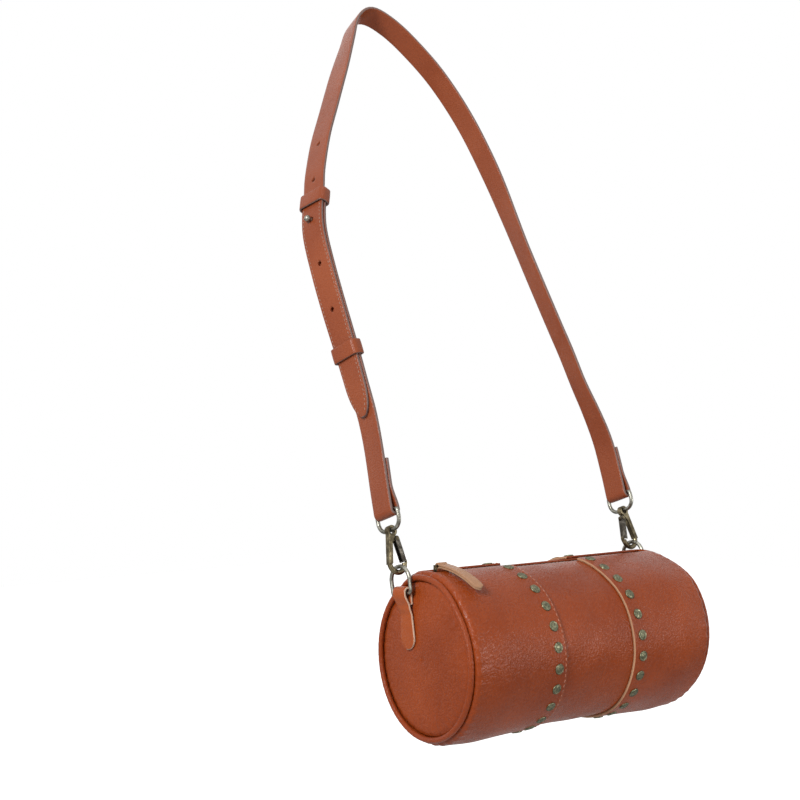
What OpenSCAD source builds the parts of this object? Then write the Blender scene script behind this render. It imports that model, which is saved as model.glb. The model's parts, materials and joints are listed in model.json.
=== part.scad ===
// Leather barrel bag on a crossbody strap, hanging as it is worn.
// The origin is the underside of the strap at the top of the shoulder, +Z is up,
// the barrel lies along X and -Y is the side that faces away from the wearer.

/* [Barrel] */
// Outside radius of the leather barrel
barrel_r = 65; // [58:1:75]
// Length of the barrel between its two turned-in edges
barrel_len = 238; // [210:1:280]
// Thickness of the body leather
panel_t = 2; // [1.6:0.1:2.4]
// Radius of the roll where the barrel turns in to its end
rim_r = 4; // [3:0.5:6]
// How far the turned-in edge reaches in from the barrel surface
flange_d = 11; // [10:0.5:16]
// Width of the centre panel that shows between the two side panels
centre_w = 73; // [60:1:90]
// How far each side panel laps over the centre panel
lap_w = 14; // [12:0.5:20]
// Width of the opening that the zip closes
slot_w = 12; // [11:0.5:16]

/* [End discs and piping] */
// Thickness of the leather disc at each end
disc_t = 2; // [1.5:0.1:2.6]
// How far the middle of the disc stands out
disc_dome = 1.5; // [0.5:0.1:3]
// Diameter of the piping round the disc
piping_d = 4.6; // [4:0.1:5.5]
// Distance from the barrel surface in to the middle of the piping
piping_in = 4.8; // [4.6:0.1:6]

/* [Lining] */
// Thickness of the lining cloth
lining_t = 0.8; // [0.6:0.1:1.2]
// Space between the leather and the lining
lining_gap = 1.4; // [1.2:0.1:2]

/* [Rivets] */
// Number of rivets in each row
rivet_count = 25; // [19:1:27]
// Angle from the top of the barrel to the first rivet, in degrees
rivet_first = 10.8; // [10:0.2:14]
// Radius of a rivet head
rivet_head_r = 3.5; // [3:0.1:4]
// Height of a rivet head
rivet_head_h = 1.2; // [0.8:0.1:1.4]
// Radius of a rivet post
rivet_post_r = 1.2; // [0.8:0.1:1.5]
// Radius of the washer that clinches a rivet inside
rivet_washer_r = 2.8; // [2.4:0.1:3.2]
// Thickness of that washer
rivet_washer_t = 0.6; // [0.4:0.1:0.8]
// Distance from the side panel's edge to the row of rivets
rivet_edge = 8.5; // [7:0.5:10]

/* [Zip] */
// Width of one zip tape
tape_w = 8.2; // [7.8:0.1:8.4]
// Thickness of the zip tape
tape_t = 0.8; // [0.6:0.1:1]
// Distance between two teeth of one row
tooth_pitch = 4; // [3:0.5:6]
// Length of a tooth along the zip
tooth_l = 1.8; // [1.4:0.1:2.4]
// Width of a tooth across the zip
tooth_w = 2; // [1.6:0.1:2.2]
// Height of a tooth
tooth_h = 2.2; // [1.8:0.1:2.4]
// Gap between the two rows of teeth
teeth_gap = 1.2; // [1:0.1:1.6]
// Length of the slider along the zip
slider_len = 15; // [14:0.5:18]
// Width of the slider
slider_w = 8; // [7.2:0.1:9]
// Thickness of each plate of the slider
slider_t = 1.1; // [0.9:0.1:1.3]
// Wire diameter of the bail on the slider
bail_d = 1.8; // [1.4:0.1:2]
// Running gap round the slider
slider_clear = 0.3; // [0.2:0.05:0.4]

/* [Zip pull] */
// Width of the leather pull
pull_w = 10; // [8:0.5:11]
// Length of the pull from the bail to its end
pull_len = 46; // [34:1:55]
// Thickness of one ply of the pull
pull_t = 1.4; // [1:0.1:1.6]

/* [Tabs] */
// Width of the lower part of the tab on each end disc
tab_w = 17; // [15:0.5:18]
// Width of the tab where it passes through its ring
tab_top_w = 14; // [12:0.5:15]
// Thickness of the tab leather
tab_t = 2.2; // [1.8:0.1:2.6]
// Length from the tab's rounded end to the bar of its ring
tab_len = 41; // [36:1:44]
// Length of the tab's folded-back end below that bar
tab_back = 8; // [6:1:12]
// How far the tab sits behind the middle of the disc
tab_y = 20; // [10:1:24]
// How far the ring's bar sits below the top line of the barrel
tab_bar_in = 18.5; // [18:0.5:25]
// Lean of the tabs towards the wearer, in degrees
tab_lean = 6; // [0:0.5:8]
// Room for the ring's bar to tilt in the fold of the tab
tab_slack = 1.6; // [1.4:0.1:2.4]
// How much higher the right-hand tab hangs along the line of pull
right_lift = 2.2; // [0:0.2:2.4]

/* [Tab rings] */
// Wire diameter of the tab ring
ring_wire = 3.2; // [2.8:0.1:3.4]
// Width of the tab ring, wire middle to wire middle
ring_w = 22; // [20:0.2:24]
// Height of the tab ring, wire middle to wire middle
ring_h = 20.5; // [18:0.5:24]
// Bend radius at the ends of the ring's bar
ring_corner = 2.6; // [2:0.1:4]
// Lean of the tab rings towards the wearer, in degrees
ring_lean = 14; // [10:0.5:14]
// Length of the flat at the top of the ring
ring_flat = 1; // [0.6:0.1:4]

/* [Strap rings] */
// Wire diameter of the strap ring
d_wire = 3.2; // [2.8:0.1:3.4]
// Clear width inside the strap ring
d_inner_w = 23; // [22.6:0.2:26]
// Height of the strap ring, wire middle to wire middle
d_h = 14; // [13:0.5:18]
// Bend radius of the ring's two lower corners
d_corner = 8; // [6:0.5:9]
// Bend radius of the ring's two upper corners
d_top_corner = 2.4; // [2:0.1:3]

/* [Snap hooks] */
// Length of the snap hook over its eye and bow
hook_len = 38; // [36:0.5:44]
// Radius of the round section of the bow
bow_r = 2; // [1.8:0.1:2.2]
// Half the clear width inside the bow
bow_inner = 4.8; // [4.6:0.1:5.4]
// Outside radius of the eye
eye_r = 4.3; // [4.2:0.1:4.8]
// Radius of the hole in the eye
eye_hole_r = 2.6; // [2.4:0.1:2.8]
// Distance from the eye's middle out to the pin of the gate
pin_out = 3.2; // [2.8:0.1:3.6]
// Distance from the eye's middle down to the pin of the gate
pin_down = 6; // [5.6:0.1:7]
// Thickness of the hook through its flat sides
hook_t = 4.4; // [4.2:0.1:5]
// Width of the hook's back leg
spine_w = 3.6; // [3:0.1:4]
// Width of the gate
gate_w = 3.8; // [3.4:0.1:4]
// Wall thickness of the gate channel
gate_wall = 0.7; // [0.5:0.1:0.8]
// Radius of the pin that the gate turns on
gate_pin_r = 0.8; // [0.7:0.05:0.9]
// Running gap of the gate on its pin
pin_clear = 0.08; // [0.05:0.01:0.1]
// Gap between the ring and the bow it hangs on
ring_play = 0.6; // [0.5:0.05:0.8]

/* [Strap] */
// Width of the strap
strap_w = 22; // [18:0.5:22.4]
// Thickness of the strap
strap_t = 2.8; // [2:0.1:3]
// Gap between the two strap parts where they overlap
ply_gap = 0.4; // [0.3:0.05:0.8]
// Height of the strap from its rings to the top of the shoulder
strap_rise = 436; // [380:1:520]
// How far the rings hang out to the side of the shoulder
strap_out = 195; // [150:1:230]
// Lean of the rings and hooks towards the wearer, in degrees
lean = 18.5; // [10:0.5:24]
// Radius of the adjustment holes
hole_r = 2; // [1.8:0.1:2.4]
// Distance between two adjustment holes
hole_pitch = 40; // [36:1:44]
// Number of adjustment holes
hole_count = 5; // [5:1:6]
// Distance from the strap tip to the first hole
first_hole = 90; // [84:1:96]
// Length over which the strap tip tapers
tip_len = 26; // [16:1:30]
// Distance along the strap from the left ring to the strap tip
tip_at = 76; // [70:1:90]
// Length of the strap end folded back at each ring
fold_back = 40; // [34:1:50]

/* [Stud] */
// Radius of the ball of the stud
stud_ball_r = 2.7; // [2.5:0.1:3.2]
// Radius of the neck of the stud
stud_neck_r = 1.5; // [1.2:0.1:1.6]
// Radius of the stud's foot behind the strap
stud_foot_r = 4; // [3.5:0.1:5]
// Thickness of the stud's foot
stud_foot_t = 0.8; // [0.6:0.1:1]

/* [Keepers] */
// Width of the upper keeper along the strap
upper_keeper_w = 15; // [12:0.5:16]
// Width of the lower keeper along the strap
lower_keeper_w = 12; // [10:0.5:14]
// Thickness of the keeper leather
keeper_t = 1.8; // [1.4:0.1:2.2]
// Gap between a keeper and the strap parts in it
keeper_clear = 0.8; // [0.7:0.05:1]
// Distance from the strap tip to the upper keeper
upper_keeper_at = 190; // [188:1:194]
// Distance from the strap tip to the lower keeper
lower_keeper_at = 54; // [48:1:60]

/* [Hidden] */

// Finish colours
cognac = [0.62, 0.29, 0.15];
dark_cognac = [0.50, 0.22, 0.12];
brass = [0.48, 0.44, 0.30];
cloth = [0.30, 0.22, 0.17];
tape_brown = [0.25, 0.16, 0.12];

// One overrun serves every cut
over = 1;
// Gap between two pieces of leather that lie on each other
seat = 0.1;
// Gap between a wire and the leather folded round it
fold_clear = 0.3;

// Barrel radii and ends, from the outside inwards
half_len = barrel_len / 2;
seam_x = centre_w / 2;
centre_r = barrel_r - panel_t - seat;
centre_half = seam_x + lap_w;
centre_in_r = centre_r - panel_t;
flange_in_r = barrel_r - flange_d;
piping_r = barrel_r - piping_in;
disc_r = piping_r - piping_d / 2 - seat;
lining_r = centre_in_r - lining_gap;
lining_half = half_len - panel_t - seat;
rivet_x = seam_x + rivet_edge;
arc_steps = 8;

// Heights in the zip, measured from the barrel's middle line
tape_top_r = centre_in_r - seat;
tape_mid_r = tape_top_r - tape_t / 2;
slot_half = lining_half - slider_clear;
tape_half = lining_half - seat;
teeth_top_r = tape_mid_r + tooth_h / 2;
plate_low_r = teeth_top_r + slider_clear;
plate_top_r = plate_low_r + slider_t;
slider_low_r = tape_mid_r - tooth_h / 2 - slider_clear - slider_t;
stop_l = 2 * tooth_l;
slider_x = -(tape_half - stop_l - slider_len / 2);
web_t = teeth_gap - 2 * slider_clear;
rivet_top_r = barrel_r + rivet_head_h;
pull_low_r = rivet_top_r + slider_clear;
pull_mid_r = pull_low_r + pull_t;
pull_eye_in = bail_d / 2 + fold_clear;
pull_eye_out = pull_eye_in + pull_t;

// Line of pull from the middle of the tab ring's arch up through the hook to the strap ring's bar
disc_face = half_len + seat + disc_t;
tab_back_x = disc_face + disc_dome + seat;
chain_x = tab_back_x + tab_t + fold_clear + ring_wire / 2;
tab_bar_z = barrel_r - tab_bar_in;
bow_mid = bow_inner + bow_r;
ring_top_r = (ring_w - ring_flat) / 2;
arc_up = ring_h - ring_top_r;
bow_at = ring_top_r - ring_wire / 2 - ring_play - bow_r;
eye_up = hook_len - bow_r - eye_r;
eye_at = bow_at + eye_up;
d_low_at = eye_at + eye_hole_r - d_wire / 2 - fold_clear;
d_bar_at = d_low_at + d_h;
bag_y = -strap_out - d_bar_at * sin(lean) - arc_up * sin(ring_lean) - tab_y;
bag_z = -strap_rise - d_bar_at * cos(lean) - arc_up * cos(ring_lean) - tab_bar_z;

// The strap's route, from the left ring over the shoulder to the right ring:
// shares of the half width of the loop and of the strap's rise
front_x = chain_x + d_wire / 2 + fold_clear + strap_t + ply_gap;
back_x = chain_x - d_wire / 2 - fold_clear - strap_t;
front_shares = [[-1, 0], [-0.993, 0.04], [-0.975, 0.11], [-0.97, 0.166], [-0.983, 0.22],
    [-0.997, 0.282], [-1.016, 0.36], [-1.024, 0.43], [-1.018, 0.494], [-0.985, 0.537], [-0.93, 0.578],
    [-0.877, 0.62], [-0.759, 0.69], [-0.618, 0.758], [-0.468, 0.829], [-0.275, 0.917], [-0.14, 0.975]];
back_shares = [[0, 1], [0.15, 0.985], [0.3, 0.945], [0.47, 0.875], [0.6, 0.78], [0.68, 0.67],
    [0.74, 0.56], [0.8, 0.44], [0.861, 0.341], [0.898, 0.289], [0.934, 0.227], [0.975, 0.172],
    [1.003, 0.115], [1.005, 0.055]];
right_end_share = right_lift * cos(lean) / strap_rise;
side_share = tan(lean) * strap_rise / strap_out;
route_steps = 4;
cap_sides = 32;

function unit(v) = v / norm(v);
function side_y(t) = strap_out * (side_share * t + (1 - side_share) * t * t - 1);
function side_lean(t) = atan(strap_out * (side_share + 2 * (1 - side_share) * t) / strap_rise);
function route_point(x, t) = [x, side_y(t), strap_rise * (t - 1)];
function spline(a, b, c, d, f) = 0.5 * (2 * b + (c - a) * f + (2 * a - 5 * b + 4 * c - d) * f * f
    + (3 * b - a - 3 * c + d) * f * f * f);
route_knots = concat([for (s = front_shares) route_point(s[0] * front_x, s[1])],
    [for (s = back_shares) route_point(s[0] * back_x, s[1])],
    [route_point(back_x, right_end_share)]);
knot_last = len(route_knots) - 1;
route = concat([for (i = [0:knot_last - 1], j = [0:route_steps - 1])
    spline(route_knots[max(i - 1, 0)], route_knots[i], route_knots[i + 1],
        route_knots[min(i + 2, knot_last)], j / route_steps)], [route_knots[knot_last]]);
route_last = len(route) - 1;
route_arc = [for (i = 0, s = 0; i <= route_last;
    s = s + (i < route_last ? norm(route[i + 1] - route[i]) : 0), i = i + 1) s];
route_len = route_arc[route_last];
route_x = [for (i = [0:route_last]) [route_arc[i], route[i][0]]];
route_y = [for (i = [0:route_last]) [route_arc[i], route[i][1]]];
route_z = [for (i = [0:route_last]) [route_arc[i], route[i][2]]];
function route_at(s) = [lookup(s, route_x), lookup(s, route_y), lookup(s, route_z)];
function along_at(s) = unit(route_at(min(s + strap_t, route_len)) - route_at(max(s - strap_t, 0)));
function across_at(s) = [0, -cos(side_lean(1 + route_at(s)[2] / strap_rise)),
    sin(side_lean(1 + route_at(s)[2] / strap_rise))];
function outward_at(s) = unit(cross(across_at(s), along_at(s)));
function station(s, off, half) = [route_at(s) + off * outward_at(s), across_at(s), outward_at(s), half];

// A strap section at each station, an eight-sided flat band with eased corners
ease = 0.45;
function band_ring(st) = [for (c = [[1, 1 - ease], [1 - ease / 6, 1], [ease / 6 - 1, 1], [-1, 1 - ease],
    [-1, ease - 1], [ease / 6 - 1, -1], [1 - ease / 6, -1], [1, ease - 1]])
    st[0] + st[3] * c[0] * st[1] + strap_t / 2 * c[1] * st[2]];

module band(stations) {
    rings = [for (st = stations) band_ring(st)];
    sides = len(rings[0]);
    last = len(rings) - 1;
    points = [for (r = rings, p = r) p];
    walls = [for (i = [0:last - 1], j = [0:sides - 1], k = [0, 1])
        let (a = i * sides + j, b = i * sides + (j + 1) % sides)
        k == 0 ? [a, b, b + sides] : [a, b + sides, a + sides]];
    first_cap = [for (j = [1:sides - 2]) [0, j + 1, j]];
    last_cap = [for (j = [1:sides - 2]) [last * sides, last * sides + j, last * sides + j + 1]];
    polyhedron(points, concat(walls, first_cap, last_cap), convexity = 10);
}

// Places: the bag's middle, the bar of a tab ring, and the arch of that ring, which leans with the pull
module at_bag() {
    translate([0, bag_y, bag_z]) children();
}

module at_bar(side, tilt) {
    lift = side > 0 ? right_lift : 0;
    translate([side * chain_x, bag_y + tab_y + lift * sin(lean), bag_z + tab_bar_z + lift * cos(lean)])
        rotate([-tilt, 0, 0])
            children();
}

module at_chain(side) {
    at_bar(side, ring_lean) translate([0, 0, arc_up]) rotate([ring_lean - lean, 0, 0]) children();
}

module at_hook(side) {
    at_chain(side) translate([0, 0, bow_at]) mirror([side > 0 ? 1 : 0, 0, 0]) children();
}

// A frame on the strap: X across, Y outward, Z along
module at_strap(s) {
    p = route_at(s);
    a = across_at(s);
    n = outward_at(s);
    t = cross(a, n);
    multmatrix([[a[0], n[0], t[0], p[0]], [a[1], n[1], t[1], p[1]], [a[2], n[2], t[2], p[2]]])
        children();
}

module spun(side) {
    rotate([0, 90, 0]) mirror([0, 0, side > 0 ? 0 : 1]) rotate_extrude($fn = 96) children();
}

function arc_points(cx, cy, r, from, to, n) = [for (i = [0:n])
    let (a = from + (to - from) * i / n) [cx + r * cos(a), cy + r * sin(a)]];

// The barrel
module zip_slot() {
    translate([-slot_half, -slot_w / 2, 0]) cube([2 * slot_half, slot_w, barrel_r + over]);
}

module rivet_places(side) {
    step = (360 - 2 * rivet_first) / (rivet_count - 1);
    for (i = [0:rivet_count - 1])
        rotate([rivet_first + i * step, 0, 0])
            translate([side * rivet_x, 0, 0])
                children();
}

module rivet_holes(side) {
    rivet_places(side)
        translate([0, 0, lining_r])
            cylinder(r = rivet_post_r + seat, h = barrel_r - lining_r + over, $fn = 16);
}

module side_panel(side) {
    color(cognac) at_bag() difference() {
        spun(side) polygon(concat(
            [[barrel_r, seam_x]],
            arc_points(barrel_r - rim_r, half_len - rim_r, rim_r, 0, 90, arc_steps),
            [[flange_in_r, half_len], [flange_in_r, half_len - panel_t]],
            arc_points(barrel_r - rim_r, half_len - rim_r, rim_r - panel_t, 90, 0, arc_steps),
            [[barrel_r - panel_t, seam_x]]));
        zip_slot();
        rivet_holes(side);
    }
}

module left_panel() {
    side_panel(-1);
}

module right_panel() {
    side_panel(1);
}

module centre_panel() {
    color(cognac) at_bag() difference() {
        rotate([0, 90, 0])
            cylinder(r = centre_r, h = 2 * centre_half, center = true, $fn = 96);
        rotate([0, 90, 0])
            cylinder(r = centre_in_r, h = 2 * centre_half + over, center = true, $fn = 96);
        zip_slot();
        rivet_holes(-1);
        rivet_holes(1);
    }
}

module end_disc(side) {
    dome_r = (disc_r * disc_r + disc_dome * disc_dome) / (2 * disc_dome);
    dome_a = asin(disc_r / dome_r);
    color(cognac) at_bag() spun(side) polygon(concat(
        [[0, half_len + seat], [disc_r, half_len + seat]],
        arc_points(0, disc_face + disc_dome - dome_r, dome_r, 90 - dome_a, 90, arc_steps)));
}

module left_end_disc() {
    end_disc(-1);
}

module right_end_disc() {
    end_disc(1);
}

module piping(side) {
    color(dark_cognac) at_bag() spun(side)
        translate([piping_r, half_len + seat + piping_d / 2]) circle(d = piping_d, $fn = 32);
}

module left_piping() {
    piping(-1);
}

module right_piping() {
    piping(1);
}

module lining_barrel() {
    color(cloth) at_bag() difference() {
        rotate([0, 90, 0])
            cylinder(r = lining_r, h = 2 * (lining_half - lining_t - seat), center = true, $fn = 96);
        rotate([0, 90, 0])
            cylinder(r = lining_r - lining_t, h = 2 * lining_half + over, center = true, $fn = 96);
        zip_slot();
    }
}

module lining_end(side) {
    color(cloth) at_bag() rotate([0, 90, 0])
        translate([0, 0, side > 0 ? lining_half - lining_t : -lining_half])
            cylinder(r = lining_r, h = lining_t, $fn = 96);
}

module left_lining_end() {
    lining_end(-1);
}

module right_lining_end() {
    lining_end(1);
}

// Rivets: a low domed head, a post through both panels and a washer inside
module rivet() {
    dome_r = (rivet_head_r * rivet_head_r + rivet_head_h * rivet_head_h) / (2 * rivet_head_h);
    dome_a = asin(rivet_head_r / dome_r);
    washer_top = sqrt(centre_in_r * centre_in_r - rivet_washer_r * rivet_washer_r);
    rotate_extrude($fn = 20) polygon(concat(
        [[0, washer_top - rivet_washer_t], [rivet_washer_r, washer_top - rivet_washer_t],
            [rivet_washer_r, washer_top], [rivet_post_r, washer_top],
            [rivet_post_r, barrel_r], [rivet_head_r, barrel_r]],
        arc_points(0, barrel_r + rivet_head_h - dome_r, dome_r, 90 - dome_a, 90, 3)));
}

module rivet_row(side) {
    color(brass) at_bag() rivet_places(side) rivet();
}

module left_rivets() {
    rivet_row(-1);
}

module right_rivets() {
    rivet_row(1);
}

// The zip
module zip_tape(side) {
    color(tape_brown) at_bag() intersection() {
        rotate([0, 90, 0]) difference() {
            cylinder(r = tape_top_r, h = 2 * tape_half, center = true, $fn = 96);
            cylinder(r = tape_top_r - tape_t, h = 2 * tape_half + over, center = true, $fn = 96);
        }
        translate([-half_len, side > 0 ? teeth_gap / 2 + tooth_w / 2 : -tape_w, 0])
            cube([2 * half_len, tape_w - teeth_gap / 2 - tooth_w / 2, barrel_r]);
    }
}

module front_zip_tape() {
    zip_tape(-1);
}

module back_zip_tape() {
    zip_tape(1);
}

module zip_teeth(side) {
    run = 2 * (tape_half - stop_l);
    count = floor(run / tooth_pitch);
    color(brass) at_bag() for (i = [0:count - 1])
        translate([-count * tooth_pitch / 2 + i * tooth_pitch + (side > 0 ? tooth_pitch / 2 : 0),
            side > 0 ? teeth_gap / 2 : -teeth_gap / 2 - tooth_w, tape_mid_r - tooth_h / 2])
            difference() {
                cube([tooth_l, tooth_w, tooth_h]);
                translate([-over, side > 0 ? tooth_w / 2 - seat : -over, tooth_h / 2 - tape_t / 2 - seat])
                    cube([tooth_l + 2 * over, tooth_w / 2 + over + seat, tape_t + 2 * seat]);
            }
}

module front_zip_teeth() {
    zip_teeth(-1);
}

module back_zip_teeth() {
    zip_teeth(1);
}

module zip_stops() {
    inner = tape_half - stop_l + seat;
    outer = slot_half - seat;
    color(brass) at_bag() for (end = [-1, 1])
        translate([end > 0 ? inner : -outer, -teeth_gap / 2 - tooth_w, tape_top_r + seat])
            cube([outer - inner, teeth_gap + 2 * tooth_w, tooth_h / 2]);
}

module zip_slider() {
    reach = teeth_gap / 2 + tooth_w + slider_clear;
    bail_span = pull_w + 2 * fold_clear + bail_d;
    color(brass) at_bag() translate([slider_x, 0, 0]) {
        translate([-slider_len / 2, -slider_w / 2, plate_low_r])
            cube([slider_len, slider_w, slider_t]);
        for (side = [-1, 1])
            translate([-slider_len / 2 + seat, side > 0 ? reach : seat - slider_w / 2,
                tape_top_r + slider_clear])
                cube([slider_len - 2 * seat, slider_w / 2 - reach - seat, plate_low_r - tape_top_r]);
        translate([-slider_len / 4, -web_t / 2, slider_low_r + seat])
            cube([slider_len / 2, web_t, plate_top_r - slider_low_r - 2 * seat]);
        translate([-slider_len / 2, -slider_w / 2, slider_low_r])
            cube([slider_len, slider_w, slider_t]);
        translate([-bail_span / 2, 0, pull_mid_r])
            rotate([0, 90, 0])
                cylinder(d = bail_d, h = bail_span, $fn = 20);
        for (end = [-1, 1])
            translate([end * bail_span / 2 - bail_d / 2, -bail_d / 2 - seat, plate_top_r - seat])
                cube([bail_d, bail_d + 2 * seat, pull_mid_r - plate_top_r + bail_d / 2 + 2 * seat]);
    }
}

// The pull is one strip folded round the bail, lying down the front of the barrel
module zip_pull() {
    sweep = pull_len / pull_mid_r * 180 / PI;
    start = (pull_eye_in + pull_eye_out) / 2 / pull_mid_r * 180 / PI;
    round_at = (pull_len - pull_w / 2) / pull_mid_r * 180 / PI;
    color(cognac) at_bag() translate([slider_x, 0, 0]) difference() {
        union() {
            translate([0, 0, pull_mid_r]) rotate([0, 90, 0])
                cylinder(r = pull_eye_out, h = pull_w, center = true, $fn = 32);
            translate([-pull_w / 2, 0, 0]) rotate([90, 0, 90]) linear_extrude(height = pull_w)
                polygon(concat(
                    arc_points(0, 0, pull_mid_r - pull_t, 90 + start, 90 + sweep, 2 * arc_steps),
                    arc_points(0, 0, pull_mid_r + pull_t, 90 + sweep, 90 + start, 2 * arc_steps)));
        }
        translate([0, 0, pull_mid_r]) rotate([0, 90, 0])
            cylinder(r = pull_eye_in, h = pull_w + 2 * over, center = true, $fn = 32);
        rotate([round_at, 0, 0]) translate([0, 0, pull_mid_r - 2 * pull_t]) difference() {
            translate([-pull_w, -pull_w, 0]) cube([2 * pull_w, pull_w - seat, 4 * pull_t]);
            translate([0, 0, -over]) cylinder(d = pull_w + 2 * seat, h = 4 * pull_t + 2 * over, $fn = 48);
        }
    }
}

// Tabs: a strip on the end disc, folded round the bar of its ring.
// The strip's side view is cut to its front view, which narrows to pass through the ring.
module tab(side) {
    fold_in = ring_wire / 2 + fold_clear;
    fold_out = fold_in + tab_t;
    low = -tab_len + tab_w / 2;
    step = tab_back + tab_t;
    top = tab_slack + fold_out + over;
    color(cognac) at_bar(side, tab_lean) mirror([side > 0 ? 0 : 1, 0, 0]) intersection() {
        rotate([90, 0, 0]) linear_extrude(height = tab_w + 2 * over, center = true) difference() {
            union() {
                for (h = [-tab_slack, tab_slack])
                    translate([0, h]) circle(r = fold_out, $fn = 32);
                translate([-fold_out, -tab_slack]) square([2 * fold_out, 2 * tab_slack]);
                translate([-fold_out, -tab_back]) square([tab_t, tab_back - tab_slack]);
                polygon([[fold_out, -tab_slack], [fold_in, -tab_slack], [seat - fold_in, -tab_back],
                    [seat - fold_in, -step], [-fold_out, -step - 2 * tab_t], [-fold_out, -tab_len - over],
                    [-fold_in, -tab_len - over], [-fold_in, -step - 2 * tab_t],
                    [tab_t + seat - fold_in, -step], [tab_t + seat - fold_in, -tab_back]]);
            }
            for (h = [-tab_slack, tab_slack])
                translate([0, h]) circle(r = fold_in, $fn = 32);
            translate([-fold_in, -tab_slack]) square([2 * fold_in, 2 * tab_slack]);
        }
        rotate([90, 0, 90]) linear_extrude(height = 2 * (fold_out + over), center = true) union() {
            translate([0, low]) circle(d = tab_w + 2 * seat, $fn = 48);
            polygon([[-tab_w / 2, low], [tab_w / 2, low], [tab_top_w / 2, -step], [tab_top_w / 2, top],
                [-tab_top_w / 2, top], [-tab_top_w / 2, -step]]);
        }
    }
}

module left_tab() {
    tab(-1);
}

module right_tab() {
    tab(1);
}

// A closed loop of round wire in the YZ plane: its bar at height zero, its other end at top
module wire_loop(width, top, low_r, high_r, wire) {
    half = width / 2;
    for (s = [-1, 1]) {
        translate([0, s * (half - low_r), low_r]) rotate([0, 0, 90]) rotate([90, 0, 0])
            rotate([0, 0, s > 0 ? -90 : 180])
                rotate_extrude(angle = 90, $fn = 48) translate([low_r, 0]) circle(d = wire, $fn = 24);
        translate([0, s * (half - high_r), top - high_r]) rotate([0, 0, 90]) rotate([90, 0, 0])
            rotate([0, 0, s > 0 ? 0 : 90])
                rotate_extrude(angle = 90, $fn = 48) translate([high_r, 0]) circle(d = wire, $fn = 24);
        translate([0, s * half, low_r]) cylinder(d = wire, h = top - low_r - high_r, $fn = 24);
    }
    for (bar = [[0, low_r], [top, high_r]])
        if (half > bar[1])
            translate([0, half - bar[1], bar[0]]) rotate([90, 0, 0])
                cylinder(d = wire, h = 2 * (half - bar[1]), $fn = 24);
}

module tab_ring(side) {
    color(brass) at_bar(side, ring_lean) wire_loop(ring_w, ring_h, ring_corner, ring_top_r, ring_wire);
}

module left_tab_ring() {
    tab_ring(-1);
}

module right_tab_ring() {
    tab_ring(1);
}

module strap_ring(side) {
    color(brass) at_chain(side) translate([0, 0, d_low_at])
        wire_loop(d_inner_w + d_wire, d_h, d_corner, d_top_corner, d_wire);
}

module left_strap_ring() {
    strap_ring(-1);
}

module right_strap_ring() {
    strap_ring(1);
}

// Snap hook: places in the plane of the hook, from the middle of the bow's wire
pivot = [pin_out, eye_up - pin_down];
tongue_r = gate_w / 2 + seat;
gate_low = bow_mid + gate_wall;
nose_in = bow_mid + bow_r - gate_wall;
gate_foot = [nose_in - seat - gate_w / 2, gate_low];
tongue_t = hook_t - 2 * gate_wall - 4 * seat;

module hook_plate(t) {
    rotate([90, 0, 0]) linear_extrude(height = t, center = true) children();
}

module hook(side) {
    neck = (eye_r + eye_hole_r) / 2 - seat;
    color(brass) at_hook(side) difference() {
        union() {
            translate([0, 0, bow_mid]) rotate([-90, 0, 0])
                rotate_extrude(angle = 180, $fn = 48) translate([bow_mid, 0]) circle(r = bow_r, $fn = 24);
            hook_plate(hook_t) polygon([[-bow_mid - spine_w / 2, bow_mid], [spine_w / 2 - bow_mid, bow_mid],
                [-neck + spine_w / 2, eye_up - 2 * eye_r], [neck - spine_w / 2, eye_up - eye_r],
                [neck, eye_up], [-neck, eye_up], [-neck - spine_w / 2, eye_up - 2 * eye_r]]);
            translate([0, 0, eye_up]) rotate([90, 0, 0])
                cylinder(r = eye_r, h = hook_t, center = true, $fn = 48);
            hook_plate(tongue_t) polygon([[-neck, pivot[1] - tongue_r], [pivot[0], pivot[1] - tongue_r],
                [pivot[0], pivot[1] + tongue_r], [0, eye_up]]);
            translate([pivot[0], 0, pivot[1]]) rotate([90, 0, 0])
                cylinder(r = tongue_r, h = tongue_t, center = true, $fn = 32);
            hook_plate(tongue_t) polygon([[nose_in, bow_mid - bow_r], [bow_mid + bow_r, bow_mid - seat],
                [bow_mid + bow_r, gate_low + gate_w / 4], [nose_in + seat, gate_low + gate_w / 2],
                [nose_in, gate_low + gate_w / 2]]);
        }
        translate([0, 0, eye_up]) rotate([90, 0, 0])
            cylinder(r = eye_hole_r, h = hook_t + over, center = true, $fn = 32);
        translate([pivot[0], 0, pivot[1]]) rotate([90, 0, 0])
            cylinder(r = gate_pin_r, h = hook_t + over, center = true, $fn = 24);
        for (s = [-1, 1])
            translate([pivot[0], s * (tongue_t / 2 + hook_t / 2), pivot[1]]) rotate([90, 0, 0])
                cylinder(r = tongue_r + 2 * seat, h = hook_t, center = true, $fn = 32);
    }
}

module left_hook() {
    hook(-1);
}

module right_hook() {
    hook(1);
}

// The gate is a channel that opens towards the hook's back leg and closes on the inside of the nose
module gate(side) {
    run = gate_foot - pivot;
    length = norm(run);
    tilt = atan2(run[0], -run[1]);
    color(dark_cognac * 0.6) at_hook(side) translate([pivot[0], 0, pivot[1]]) rotate([0, -tilt, 0])
        difference() {
            union() {
                hook_plate(hook_t) polygon([[-gate_w / 2, 0], [gate_w / 2, 0], [gate_w / 2, -length],
                    [-gate_w / 2, -length]]);
                rotate([90, 0, 0]) cylinder(d = gate_w, h = hook_t, center = true, $fn = 32);
            }
            hook_plate(hook_t - 2 * gate_wall) polygon([[-gate_w, gate_w], [gate_w, gate_w],
                [gate_w, -tongue_r - seat], [gate_w / 2 - gate_wall, -tongue_r - gate_wall],
                [gate_w / 2 - gate_wall, -length - over], [-gate_w, -length - over]]);
            rotate([90, 0, 0])
                cylinder(r = gate_pin_r + pin_clear, h = hook_t + over, center = true, $fn = 24);
        }
}

module left_gate() {
    gate(-1);
}

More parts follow.
